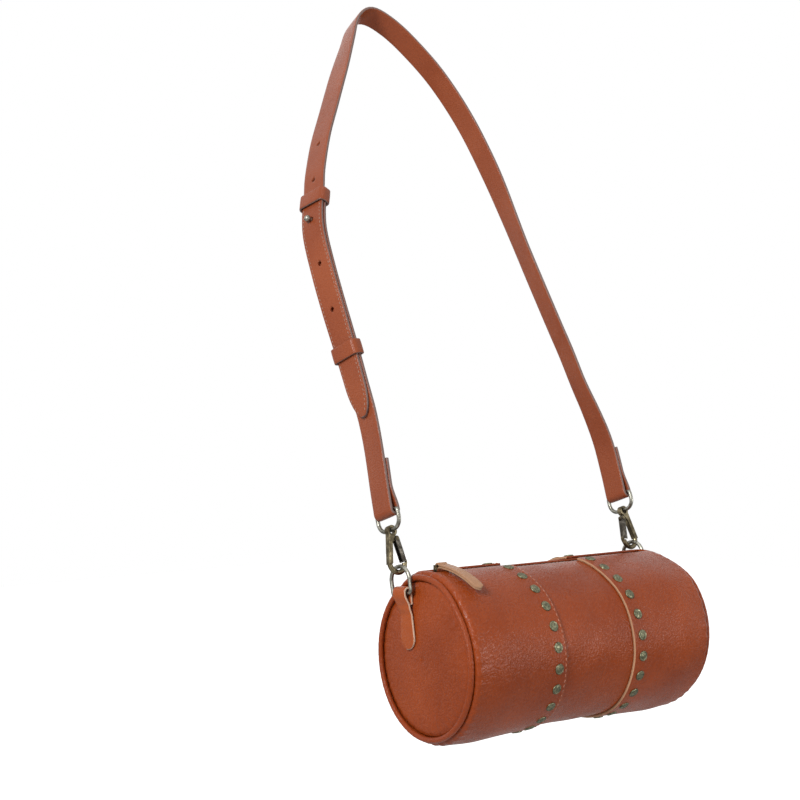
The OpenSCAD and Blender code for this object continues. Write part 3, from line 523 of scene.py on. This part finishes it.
def end_disc(name, side, node):
    """Crown height 1.5 (1 - share^2) mm over a disc of 57.75 mm, with creases that grow to the rim."""
    rings, steps = 42, 220
    share = np.linspace(0, 1, rings)[:, None] ** 0.8
    angle = full_turn(steps)
    crown = DISC_CROWN * (1 - share ** 2) + 0.25 * np.sin(2 * angle + 0.8) * share ** 2 * (1 - share)
    fold = 0.17 * np.sin(37 * angle + 2.2 * np.sin(3 * angle) + 6 * share)
    fold = (fold + 0.09 * np.sin(61 * angle + 5 * share)) * smooth_step(share, 0.7, 0.98)
    roll = -1.1 * smooth_step(share, 0.93, 1.0)
    face_x = side * (DISC_FACE + crown + fold + roll)
    front = around(face_x, DISC_RADIUS * share, angle)[1:]
    back = around(side * DISC_BACK, DISC_RADIUS * share, angle)[:0:-1]
    shell = np.concatenate([front, back]).reshape(-1, 3)
    poles = BAG + np.array([[side * (DISC_FACE + DISC_CROWN), 0, 0], [side * DISC_BACK, 0, 0]])
    faces = grid_quads(2 * (rings - 1), steps, wrap_cols=True).tolist()
    ring = np.arange(steps)
    faces += fan(len(shell), ring).tolist() + fan(len(shell) + 1, len(shell) - steps + ring).tolist()
    points = np.concatenate([shell, poles])
    make_piece(name, points, faces, "bag", body_leather, (node,))


def piping(name, side, node):
    """Tube of radius 2.28 mm round a circle of 60.2 mm, whose tube radius ripples by 3 percent."""
    steps, sides = 360, 20
    angle, tube = full_turn(steps)[:, None], full_turn(sides)
    size = PIPING_TUBE * (1 + 0.02 * np.sin(57 * angle) + 0.012 * np.sin(91 * angle + 1))
    points = around(side * (PIPING_X + size * np.sin(tube)), PIPING_RADIUS + size * np.cos(tube), angle)
    faces = grid_quads(steps, sides, True, True)
    make_piece(name, points, faces, "bag", piping_leather, (node,))


for side, word in SIDES:
    end_disc(word + "_disc_skin", side, word + "_end_disc")
    piping(word + "_piping_tube", side, word + "_piping")

# %% [markdown]
# ## Lining and zip tapes
# The lining is a thin cloth drum that follows the leather's own shape at a smaller radius. The zip tapes are
# two narrow woven strips under the slot's edges, with the teeth between them.

# %% Lining and tapes
CLOTH = 0.8
DRUM_RADIUS, DRUM_HALF, DRUM_SLOT = 59.4, 115.9, 1.25 * SLOT_ANGLE
TAPE_RADIUS, TAPE_HALF, TAPE_INNER, TAPE_OUTER = 60.85, 116.6, 1.5, 8.2
ROUND_RADIUS, ROUND_X = 59.3, 116.9


def sleeve(name, radius, x, angle, material, node):
    """Closed cloth sheet: an outer and an inner grid over x and angle, joined along their borders."""
    points = np.stack([around(x, r, angle[:, None]) for r in (radius, radius - CLOTH)])
    grid, under = grid_quads(len(angle), len(x)), len(angle) * len(x)
    faces = grid.tolist() + (grid[:, ::-1] + under).tolist()
    index = np.arange(under).reshape(len(angle), len(x))
    for border in (index[:, 0], index[:, -1], index[0], index[-1]):
        k, n = border[:-1], border[1:]
        faces += np.stack([k, n, n + under, k + under], -1).tolist()
    make_piece(name, points, faces, "bag", material, (node,))


def lining_end(name, side, node):
    """A flat round of cloth: rings of points from the middle outwards on both faces."""
    rings, steps = 14, 96
    share, turn = np.linspace(0.02, 1, rings)[:, None], full_turn(steps)
    slack = 0.35 * np.sin(3 * turn + 1) * share * (1 - share)
    outer, inner = (around(side * (x - slack), ROUND_RADIUS * share, turn) for x in (ROUND_X, ROUND_X - CLOTH))
    points = np.concatenate([outer, inner[::-1]])
    faces = grid_quads(2 * rings, steps, wrap_cols=True).tolist()
    last = (2 * rings - 1) * steps
    faces += [list(range(steps)), list(range(last, last + steps))[::-1]]
    make_piece(name, points, faces, "bag", lining_cloth, (node,))


sleeve("lining_drum", DRUM_RADIUS, np.linspace(-DRUM_HALF, DRUM_HALF, 60),
       np.linspace(DRUM_SLOT, 2 * np.pi - DRUM_SLOT, 120), lining_cloth, "lining_barrel")
tape_angle = np.arcsin(np.linspace(TAPE_INNER, TAPE_OUTER, 8) / 60.5)
for sign, word in ((1, "front"), (-1, "back")):
    sleeve(word + "_tape_strip", TAPE_RADIUS, np.linspace(-TAPE_HALF, TAPE_HALF, 90), sign * tape_angle,
           tape_cloth, word + "_zip_tape")
for side, word in SIDES:
    lining_end(word + "_lining_round", side, word + "_lining_end")

# %% [markdown]
# ## Rivets
# The rivets hold the lapped panels together. Each head is a low dome in a thin raised rim. All heads of a row
# are one mesh: the profile is turned once, and one array product places it at every angle.

# %% Rivet heads
RIVETS, RIVET_X, RIVET_START, RIVET_PITCH = 25, 45.0, 10.8, 14.1
HEAD_TOP, HEAD_FOOT = 1.15, -0.3
HEAD = np.array([[1.0, 1.12], [1.9, 0.98], [2.6, 0.76], [2.85, 0.6], [3.05, 0.66], [3.4, 0.9],
                 [3.75, 0.78], [4.05, 0.3], [4.05, -0.5]])


def rivet_row(name, side, node):
    """25 heads, 14.1 degrees apart from 10.8 past the top, each a profile of (radius, height) turned."""
    sides = 22
    tube = full_turn(sides)
    reach, height = HEAD.T[..., None]
    local = np.stack([reach * np.cos(tube), reach * np.sin(tube), height + 0 * tube], -1).reshape(-1, 3)
    local = np.concatenate([local, [[0, 0, HEAD_TOP], [0, 0, HEAD_FOOT]]])
    angle = np.radians(RIVET_START + RIVET_PITCH * np.arange(RIVETS))
    x = side * RIVET_X
    outward, along = leaning(-angle)
    axes = np.stack([np.broadcast_to([1.0, 0, 0], along.shape), along, outward], 1)
    points = around(x, RADIUS + relax(x, angle), angle)[:, None] + local @ axes
    ring, top = np.arange(sides), len(HEAD) * sides
    ends = np.concatenate([fan(top, ring), fan(top + 1, top - sides + ring)])
    quads = grid_quads(len(HEAD), sides, wrap_cols=True)
    faces = repeated(quads, RIVETS, len(local)) + repeated(ends, RIVETS, len(local))
    make_piece(name, points, faces, "bag", rivet_brass, (node,))


for side, word in SIDES:
    rivet_row(word + "_rivet_heads", side, word + "_rivets")

# %% [markdown]
# ## The strap's route
# The strap hangs in a leaning plane, wraps the shoulder and comes down behind it. Its route is a smooth
# curve through chosen points, the same as in the solid model: shares of the loop's half width and of the
# strap's rise. At each point the ribbon has a width direction and a face that looks outward.
#
# OUT, RISE and LEAN set the plane. CHAIN_X is where the rings hang, STRAP_T and STRAP_HALF are a strap's
# thickness and half width, PLY is the gap between plies and BAR the strap's inner radius round a ring's bar.
# The right ring hangs higher by LIFT. TWIST turns the strap where it bends and SWAY moves its back part.

# %% Route of the strap
OUT, RISE, LEAN, LIFT = 195.0, 436.0, np.radians(18.5), 2.2
CHAIN_X, STRAP_T, STRAP_HALF, PLY, BAR = 126.8, 2.8, 11.0, 0.4, 1.9
FRONT_X, BACK_X, BEND = CHAIN_X + BAR + STRAP_T + PLY, CHAIN_X - BAR - STRAP_T, BAR + STRAP_T / 2
FRONT = [(-1, 0), (-0.993, 0.04), (-0.975, 0.11), (-0.97, 0.166), (-0.983, 0.22), (-0.997, 0.282),
         (-1.016, 0.36), (-1.024, 0.43), (-1.018, 0.494), (-0.985, 0.537), (-0.93, 0.578), (-0.877, 0.62),
         (-0.759, 0.69), (-0.618, 0.758), (-0.468, 0.829), (-0.275, 0.917), (-0.14, 0.975)]
BACK = [(0, 1), (0.15, 0.985), (0.3, 0.945), (0.47, 0.875), (0.6, 0.78), (0.68, 0.67), (0.74, 0.56),
        (0.8, 0.44), (0.861, 0.341), (0.898, 0.289), (0.934, 0.227), (0.975, 0.172), (1.003, 0.115),
        (1.005, 0.055)]
TWIST, BACK_TWIST, SWAY = np.radians(15.0), np.radians(-14.0), 3.2
side_share = np.tan(LEAN) * RISE / OUT
x, t = np.array([(x * FRONT_X, t) for x, t in FRONT] + [(x * BACK_X, t) for x, t in BACK]
                + [(BACK_X, LIFT * np.cos(LEAN) / RISE)]).T
knots = np.stack([x, OUT * (side_share * t + (1 - side_share) * t ** 2 - 1), RISE * (t - 1)], -1)


def smooth_route(points, steps=16):
    """Catmull-Rom curve: each span mixes four neighbours by cubic weights of its share f."""
    padded = np.concatenate([points[:1], points, points[-1:]])
    f = (np.arange(steps) / steps)[None, :, None]
    a, b, c, d = (padded[k:len(padded) - 3 + k][:, None, :] for k in range(4))
    spans = 2 * b + (c - a) * f + (2 * a - 5 * b + 4 * c - d) * f ** 2 + (3 * b - a - 3 * c + d) * f ** 3
    return np.concatenate([0.5 * spans.reshape(-1, 3), points[-1:]])


def distances(line):
    """Distance along a line of points, from the first one."""
    return np.concatenate([[0], np.cumsum(np.linalg.norm(np.diff(line, axis=0), axis=1))])


def walk(s, run, line):
    """Points of a line at distances s, held at its ends; run is the distance of each of its own points."""
    return np.stack([np.interp(s, run, column) for column in line.T], -1)


route = smooth_route(knots)
route_run = distances(route)
ROUTE_LENGTH = route_run[-1]
print("strap route is", round(ROUTE_LENGTH), "mm long")


def station(s, near=2.8):
    """Place, width direction and outward direction of the ribbon at distances s along the route."""
    s = np.atleast_1d(s).astype(float)
    place = walk(s, route_run, route)
    along = unit(walk(s + near, route_run, route) - walk(s - near, route_run, route))
    t = 1 + place[:, 2] / RISE
    across = leaning(np.arctan(OUT * (side_share + 2 * (1 - side_share) * t) / RISE))[1]
    outward = unit(np.cross(across, along))
    back = smooth_step(s, ROUTE_LENGTH - 330, ROUTE_LENGTH - 230) * smooth_step(ROUTE_LENGTH - s, 30, 110)
    twist = (BACK_TWIST * back - TWIST * (smooth_step(s, 50, 190) - smooth_step(s, 410, 500)))[:, None]
    turned = np.cos(twist) * across + np.sin(twist) * outward
    place = place - SWAY * back[:, None] * outward
    return place, turned, np.cos(twist) * outward - np.sin(twist) * across


# %% [markdown]
# ## Ribbons of leather
# Straps, tabs, keepers and the zip pull are all flat strips with eased edges, so one function sweeps a
# rounded flat section along a path. The middle of each face bulges by a tenth and the edges are marked as
# cut, so the material can show the pale fibre there.

# %% Ribbon sweep
def ribbon(name, place, across, outward, half, thick, body, material, node, loop=False, crown=0.12):
    """Sweep of a flat section: place + a * across + b * outward, with corners eased by 0.3 of the thickness."""
    half = np.broadcast_to(half, len(place))[:, None]
    ease = 0.3 * thick
    top = np.array([[share, 1, 0, 0] for share in np.linspace(-1, 1, 9)])
    rim = np.array([[1, 1, 0.7, -0.3], [1, 1, 1.0, -1.0], [1, -1, 1.0, 1.0], [1, -1, 0.7, 0.3]])
    section = np.concatenate([top, rim, top[::-1] * [1, -1, 1, 1], rim[::-1] * [-1, 1, -1, 1]])
    a_share, b_share, a_ease, b_ease = section.T
    a = a_share[None] * np.maximum(half - ease, 0.01) + a_ease[None] * np.minimum(ease, half)
    bulge = crown * (1 - a_share ** 2) * np.sign(b_share) * (np.abs(a_ease) < 0.1)
    b = b_share * thick / 2 + b_ease * ease + bulge
    points = place[:, None] + a[..., None] * across[:, None] + b[None, :, None] * outward[:, None]
    rows, cols = points.shape[:2]
    edge = np.tile([0.0] * 9 + [0.35, 1, 1, 0.35], (rows, 2))
    faces = grid_quads(rows, cols, loop, True).tolist()
    if not loop:
        faces += [list(range(cols)), list(range((rows - 1) * cols, rows * cols))[::-1]]
        edge[[0, -1]] = 1.0
    return make_piece(name, points, faces, body, material, (node,), edge)


PULL, PULL_ACROSS = leaning(LEAN)
RING_ARCH = 10.0 * leaning(np.radians(14))[0]
TAB_BAR_Z, STRAP_BAR, FOLD_BACK = 46.5, 52.7, 40


def ring_bar(side):
    """Middle of a tab ring's bar, in mm."""
    return BAG + np.array([side * CHAIN_X, TAB_Y, TAB_BAR_Z]) + (LIFT if side > 0 else 0) * PULL


def strap(name, s, half, off, side, node):
    """Ribbon over the distances s, moved outward by off, then round its side's strap ring and back up.

    The folded-back end leaves the bar 2 BEND away and closes up to the other ply by (1 - cos) / 2.
    """
    place, across, outward = station(s)
    turn = np.radians(np.linspace(180, 360, 19))[:, None]
    out = np.cos(turn) * np.array([1.0, 0, 0]) + np.sin(turn) * PULL
    bend = ring_bar(side) + RING_ARCH + STRAP_BAR * PULL + BEND * out
    f = np.linspace(0, 1, 17)[1:]
    away = 2 * BEND - (1 - np.cos(np.pi * np.minimum(1, 2 * f))) / 2 * (2 * BEND - STRAP_T - PLY)
    leg, leg_across, leg_out = station(f * FOLD_BACK if side < 0 else ROUTE_LENGTH - f * FOLD_BACK)
    leg = leg + (off + side * away)[:, None] * leg_out
    return ribbon(name, np.concatenate([place + off * outward, bend, leg]),
                  np.concatenate([across, np.broadcast_to(PULL_ACROSS, bend.shape), leg_across]),
                  np.concatenate([outward, -side * out, -leg_out]),
                  np.concatenate([half, np.full(len(bend) + len(leg), STRAP_HALF)]),
                  STRAP_T, "strap", strap_leather, node)


# %% The long strap with its holes
TIP, TAPER = 76.0, 26.0
FIRST_HOLE, HOLE_PITCH, HOLE_RADIUS, HOLE_SIDES = TIP + 90.0, 40.0, 2.0, 20


def tip_half(share):
    """Half width over the rounded tip: STRAP_HALF sqrt(1 - (0.985 (1 - share))^2)."""
    return STRAP_HALF * np.sqrt(1 - ((1 - share) * 0.985) ** 2)


def cut_with(piece, cutter):
    """Exact boolean difference, applied, after which the cutter is removed."""
    modifier = piece.modifiers.new("cut", "BOOLEAN")
    modifier.operation = "DIFFERENCE"
    modifier.solver = "EXACT"
    modifier.object = cutter
    bpy.context.view_layer.update()
    cut = bpy.data.meshes.new_from_object(piece.evaluated_get(bpy.context.evaluated_depsgraph_get()))
    piece.modifiers.clear()
    piece.data = cut
    bpy.data.objects.remove(cutter)


taper = np.linspace(0.012, 1, 15)[:-1] ** 1.4
rest_of_strap = np.arange(TIP + TAPER, ROUTE_LENGTH - 4.0, 4.0)
halves = np.concatenate([tip_half(taper), np.full(len(rest_of_strap), STRAP_HALF)])
long_strap = strap("long_strap_leather", np.concatenate([TIP + taper * TAPER, rest_of_strap]), halves,
                   STRAP_T / 2, 1, "long_strap")
place, across, outward = station(FIRST_HOLE + HOLE_PITCH * np.arange(5))
axes = np.stack([across, np.cross(outward, across), outward], 1)
turn = full_turn(HOLE_SIDES)
circle = HOLE_RADIUS * np.stack([np.cos(turn), np.sin(turn), 0 * turn], -1)
local = np.concatenate([circle + [0, 0, height] for height in (-2.0, 6.0)])
ring = np.arange(HOLE_SIDES)
punch_faces = []
for first in 2 * HOLE_SIDES * np.arange(len(place)):
    punch_faces += (grid_quads(2, HOLE_SIDES, False, True) + first).tolist()
    punch_faces += [first + ring[::-1], first + HOLE_SIDES + ring]
cut_with(long_strap, put("punch", closed_mesh("punch", place[:, None] + local @ axes, punch_faces)))
long_strap.data.shade_smooth()
print("long strap has", len(long_strap.data.polygons), "faces with its holes")

# %% The short strap
SHORT_TOP, SHORT_FOOT = TIP + 197.5, 3.3
strap("short_strap_leather", np.linspace(SHORT_TOP, SHORT_FOOT, 80), np.full(80, STRAP_HALF),
      -PLY - STRAP_T / 2, -1, "short_strap")

# %% [markdown]
# ## Stitching
# A saddle stitch shows as a row of short raised dashes that sink into the leather at their ends. One low
# capsule is placed many times along a line by array products, so the whole seam is one light mesh.

# %% Stitches
STITCH = 2.6
CAPSULE = np.array([[-0.5, 0.35], [-0.25, 1.0], [0.25, 1.0], [0.5, 0.35]])


def stitches(name, place, along, outward, body, material, radius=0.34):
    """A capsule of 4 rings and 6 sides at each place, its axis along the seam, half sunk in the leather."""
    tube = full_turn(6)
    share, size = CAPSULE.T[..., None]
    sink = 0.22 * (2 * np.abs(share)) ** 2
    local = np.stack([share * STITCH + 0 * tube, radius * size * np.cos(tube),
                      radius * size * np.sin(tube) - sink], -1).reshape(-1, 3)
    axes = np.stack([along, np.cross(along, outward), outward], 1)
    caps = np.stack([np.arange(6)[::-1], 18 + np.arange(6)])
    faces = repeated(grid_quads(4, 6, False, True), len(place), 24) + repeated(caps, len(place), 24)
    make_piece(name, place[:, None] + local @ axes, faces, body, material)


# %% Stitches along both edges of the long strap
BELT_PITCH, BELT_INSET, BELT_LIFT = 3.6, 2.2, STRAP_T + 0.06
s = np.arange(TIP + 5, TIP + 196, BELT_PITCH)
place, across, outward = station(s)
inset = (tip_half(np.clip((s - TIP) / TAPER, 0.05, 1)) - BELT_INSET)[:, None]
lines = [place + edge * inset * across + BELT_LIFT * outward for edge in (-1, 1)]
stitches("belt_stitches", np.concatenate(lines), np.tile(np.cross(outward, across), (2, 1)),
         np.tile(outward, (2, 1)), "strap", belt_thread)

# %% Seam stitches on the bag
SEAM_PITCH, SEAM_INSET, SEAM_LIFT = 4.2, 1.7, 0.1
angle = np.arange(SLOT_ANGLE + 0.05, 2 * np.pi - SLOT_ANGLE - 0.03, SEAM_PITCH / RADIUS)
x = -(SEAM + SEAM_INSET)
outward, along = leaning(-angle)
stitches("left_seam_stitches", around(x, RADIUS + SEAM_LIFT + relax(x, angle), angle), along, outward, "bag",
         bag_thread, radius=0.36)

# %% [markdown]
# ## Keepers
# A keeper is a strip sewn into a loop round both strap parts, free to slide. It is a ribbon whose path is a
# rounded rectangle across the strap.

# %% Keepers
KEEPER_WIDE, KEEPER_LOW, KEEPER_HIGH, KEEPER_CORNER, KEEPER_T = STRAP_HALF + 1.7, -4.9, 4.3, 2.9, 1.8


def keeper(name, at, width, node):
    """Loop of a strip: the path is a rectangle of the strap's width and both plies, with rounded corners."""
    place, across, outward = (v[0] for v in station(TIP + at))
    turn = np.radians([np.linspace(start, start + 90, 7) for start in (0, 90, 180, 270)])
    facing = np.stack([np.cos(turn), np.sin(turn)], -1)
    side, top, foot = KEEPER_WIDE - KEEPER_CORNER, KEEPER_HIGH - KEEPER_CORNER, KEEPER_LOW + KEEPER_CORNER
    middles = np.array([[side, top], [-side, top], [-side, foot], [side, foot]])[:, None]
    path, facing = (middles + KEEPER_CORNER * facing).reshape(-1, 2), facing.reshape(-1, 2)
    arch = 1.2 * (1 - (path[:, :1] / KEEPER_WIDE) ** 2) * (path[:, 1:] > 0)
    points = place + path[:, :1] * across + (path[:, 1:] + arch) * outward
    normal = facing[:, :1] * across + facing[:, 1:] * outward
    along = np.broadcast_to(np.cross(outward, across), points.shape)
    ribbon(name, points, along, normal, width / 2, KEEPER_T, node, strap_leather, node, loop=True)


keeper("upper_keeper_loop", 190.0, 13.0, "upper_keeper")
keeper("lower_keeper_loop", 54.0, 12.0, "lower_keeper")

# %% [markdown]
# ## Tabs
# Each tab is one strip: it lies on the end disc, climbs over its own folded-back end, turns round the
# ring's bar and tucks in behind. Its lower end is rounded, and it turns with the slant of the disc.

# %% Tabs
TAB_T, TAB_BORE, TAB_SLACK, TAB_FOOT, TAB_TUCK = 2.2, 1.9, 1.6, -41.0, -8.0
TAB_HALF, TAB_HALF_TOP = 8.5, 7.0


def rounded(run, length, least=0.0):
    """Share of the half width at a distance from a rounded end: sqrt(1 - (1 - run / length)^2)."""
    return np.sqrt(np.clip(1 - (1 - np.clip(run / length, least, 1)) ** 2, 0.02, 1))


def smooth_line(corners, spacing=0.7, soft=1.6):
    """A line of corners walked at even steps and averaged over a short length, so its corners are round."""
    corners = np.asarray(corners, dtype=float)
    run = distances(corners)
    s = np.arange(0, run[-1] + spacing / 2, spacing)
    reach = np.minimum(np.minimum(s, run[-1] - s), soft) / soft
    return np.mean([walk(s + reach * o, run, corners) for o in np.linspace(-soft, soft, 9)], axis=0)


def tab(name, side, node):
    """Ribbon from the rounded lower end up over the tucked ply, round the bar and down behind."""
    lean = np.radians(6.0)
    up, width_dir = leaning(lean)
    out = np.array([side * 1.0, 0, 0])
    mid = TAB_BORE + TAB_T / 2
    front = smooth_line([(-2.6, TAB_FOOT), (-2.6, -14.8), (-0.65, -10.4), (-0.65, -8.4), (mid + 0.15, -1.2),
                         (mid, TAB_SLACK)])
    turn = np.radians(np.linspace(0, 180, 17))[1:]
    fold = np.stack([mid * np.cos(turn), TAB_SLACK + mid * np.sin(turn)], -1)
    back = np.stack([np.full(8, -mid), np.linspace(TAB_SLACK, TAB_TUCK, 8)], -1)[1:]
    path = np.concatenate([front, fold, back])
    step = unit(np.gradient(path, axis=0))
    points = ring_bar(side) + path[:, :1] * out + path[:, 1:] * up
    outward = step[:, 1:] * out - step[:, :1] * up
    height = path[:, 1] - TAB_FOOT
    half = TAB_HALF - (TAB_HALF - TAB_HALF_TOP) * np.clip((height - TAB_HALF) / 18.0, 0, 1)
    half = np.where(np.arange(len(path)) < len(front), half * rounded(height, TAB_HALF), TAB_HALF_TOP)
    on_disc = 1 - smooth_step(path[:, 1:], -16.0, -6.0)
    across = unit(width_dir - on_disc * np.array([SLANT[side], 0, 0]) * np.cos(lean))
    outward = outward - (outward * across).sum(1, keepdims=True) * across
    ribbon(name, points, across, outward, half, TAB_T, "bag", tab_leather, node)


for side, word in SIDES:
    tab(word + "_tab_strip", side, word + "_tab")

# %% [markdown]
# ## The zip pull
# One strip is folded round the slider's bail, so two plies lie on each other down the front of the barrel.
# They are cut from the same hide but show its tan flesh side. The plies follow an arc of radius BOW.

# %% Zip pull
SLIDER_X, BAIL_Z, BAIL_RADIUS, BOW = -105.8, 67.9, 1.9, 84.0
PULL_LENGTH, PULL_HALF, PULL_T, PULL_PLY = 46.0, 4.4, 1.36, 0.72
reach = np.linspace(PULL_LENGTH, 2.0, 30) / BOW
upper, lower = (np.stack([-radius * np.sin(reach), BAIL_Z - BOW + radius * np.cos(reach)], -1)
                for radius in (BOW + PULL_PLY, BOW - PULL_PLY))
turn = np.radians(np.linspace(110, -110, 15))
eye = np.stack([BAIL_RADIUS * np.cos(turn), BAIL_Z + BAIL_RADIUS * np.sin(turn)], -1)
path = np.concatenate([upper, eye, lower[::-1]])
step = unit(np.gradient(path, axis=0))
run = PULL_LENGTH - np.concatenate([reach * BOW, np.zeros(len(eye)), reach[::-1] * BOW])
points = BAG + np.insert(path, 0, SLIDER_X, axis=1)
outward = np.stack([np.zeros(len(path)), -step[:, 1], step[:, 0]], -1)
ribbon("zip_pull_strip", points, np.broadcast_to([1.0, 0, 0], points.shape), outward,
       PULL_HALF * rounded(run, 5.0, 0.03), PULL_T, "zip_pull", pull_leather, "zip_pull", crown=0.04)

# %% [markdown]
# ## Fittings
# Rings, hooks and gates already have their true shape in the solid model. Cast metal has soft corners, so
# each hook and gate is copied, its triangles are merged, its flat faces are joined, and a small bevel rounds
# the corners. The other fittings keep their own meshes.

# %% Soften the hooks and gates
def soften(node, material, width):
    """A merged copy of a solid with a bevel of the given width in mm on edges sharper than 35 degrees."""
    mesh = frame["nodes"][node].data.copy()
    work = bmesh.new()
    work.from_mesh(mesh)
    bmesh.ops.remove_doubles(work, verts=work.verts, dist=2e-6)
    bmesh.ops.dissolve_limit(work, angle_limit=np.radians(1.0), verts=work.verts, edges=work.edges)
    work.to_mesh(mesh)
    work.free()
    mesh.materials.clear()
    mesh.materials.append(material)
    piece = put(node + "_cast", mesh)
    bevel = piece.modifiers.new("soft corners", "BEVEL")
    bevel.width = width * MM
    bevel.segments = 2
    bevel.limit_method = "ANGLE"
    bevel.angle_limit = np.radians(35.0)
    bevel.harden_normals = True
    mesh.shade_smooth()
    body = next(name for name, nodes in frame["record"]["behaviour"]["bodies"].items() if node in nodes)
    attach(piece, body)
    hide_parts(node)
    print(piece.name, "rides", body, "with", len(mesh.polygons), "faces")


for _, word in SIDES:
    soften(word + "_hook", hook_brass, 0.45)
    soften(word + "_gate", gate_brass, 0.15)

# %% Finish the solids that stay
kept = {"strap_stud": ring_brass}
kept.update((word + part, ring_brass) for _, word in SIDES for part in ("_tab_ring", "_strap_ring"))
kept.update((word + part, hook_brass) for _, word in SIDES for part in ("_gate_pin", "_gate_spring"))
kept.update((name, zip_brass) for name in ("front_zip_teeth", "back_zip_teeth", "zip_stops", "zip_slider"))
for name, material in kept.items():
    for slot in frame["nodes"][name].material_slots:
        slot.material = material
print(len(kept), "solids keep their own meshes")

# %% [markdown]
# ## Floor, background and light
# A product photograph of this kind is lit by large soft boxes in front of a white wall. The world is white
# where the camera, a mirror or glass looks at it, and a plain grey light otherwise, so colours render about
# as they are written.

# %% Floor
FLOOR_Z, FLOOR_HALF = -1.35, 6
floor_corners = [(x * FLOOR_HALF, y * FLOOR_HALF, FLOOR_Z) for x, y in ((-1, -1), (1, -1), (1, 1), (-1, 1))]
floor_mesh = bpy.data.meshes.new("floor")
floor_mesh.from_pydata(floor_corners, [], [(0, 1, 2, 3)])
floor = put("floor", floor_mesh)
pale, graph, shader = new_material("pale_floor")
graph.feed(shader["Base Color"], (0.75, 0.75, 0.75))
graph.feed(shader["Roughness"], 0.9)
graph.feed(shader["Emission Color"], (1.0, 1.0, 1.0))
graph.feed(shader["Emission Strength"], graph.add("ShaderNodeLightPath").outputs["Is Camera Ray"])
floor_mesh.materials.append(pale)

# %% World and lamps
AMBIENT = 0.27
world = bpy.data.worlds.new("studio")
world.use_nodes = True
bpy.context.scene.world = world
graph = Graph(world.node_tree)
background = world.node_tree.nodes["Background"].inputs
rays = graph.add("ShaderNodeLightPath").outputs
seen = graph.maths("MAXIMUM", rays["Is Camera Ray"],
                   graph.maths("MAXIMUM", rays["Is Glossy Ray"], rays["Is Transmission Ray"]))
graph.feed(background["Strength"], graph.maths("ADD", graph.maths("MULTIPLY", seen, 1 - AMBIENT), AMBIENT))
graph.feed(background["Color"], (1.0, 1.0, 1.0))


def soft_box(name, place, target, size, power):
    """A rectangular lamp that looks at a target, places and sizes in metres and power in watts."""
    lamp = bpy.data.lights.new(name, "AREA")
    lamp.shape = "RECTANGLE"
    lamp.size, lamp.size_y = size
    lamp.energy = power
    holder = put(name, lamp)
    holder.location = place
    x, y, z = np.array(target) - np.array(place)
    holder.rotation_euler = (np.arctan2(np.hypot(x, y), -z), 0.0, np.arctan2(y, x) - np.pi / 2)


middle = (0.0, -0.2, -0.45)
soft_box("key", (-2.3, -1.0, 0.9), middle, (0.9, 0.9), 66.0)
soft_box("fill", (0.62, -1.55, -0.4), (-0.05, -0.25, -0.54), (0.32, 0.7), 6.3)
soft_box("top", (0.1, -0.3, 1.7), middle, (1.2, 0.9), 5.5)
print("lamps:", [lamp.name for lamp in bpy.data.lights])
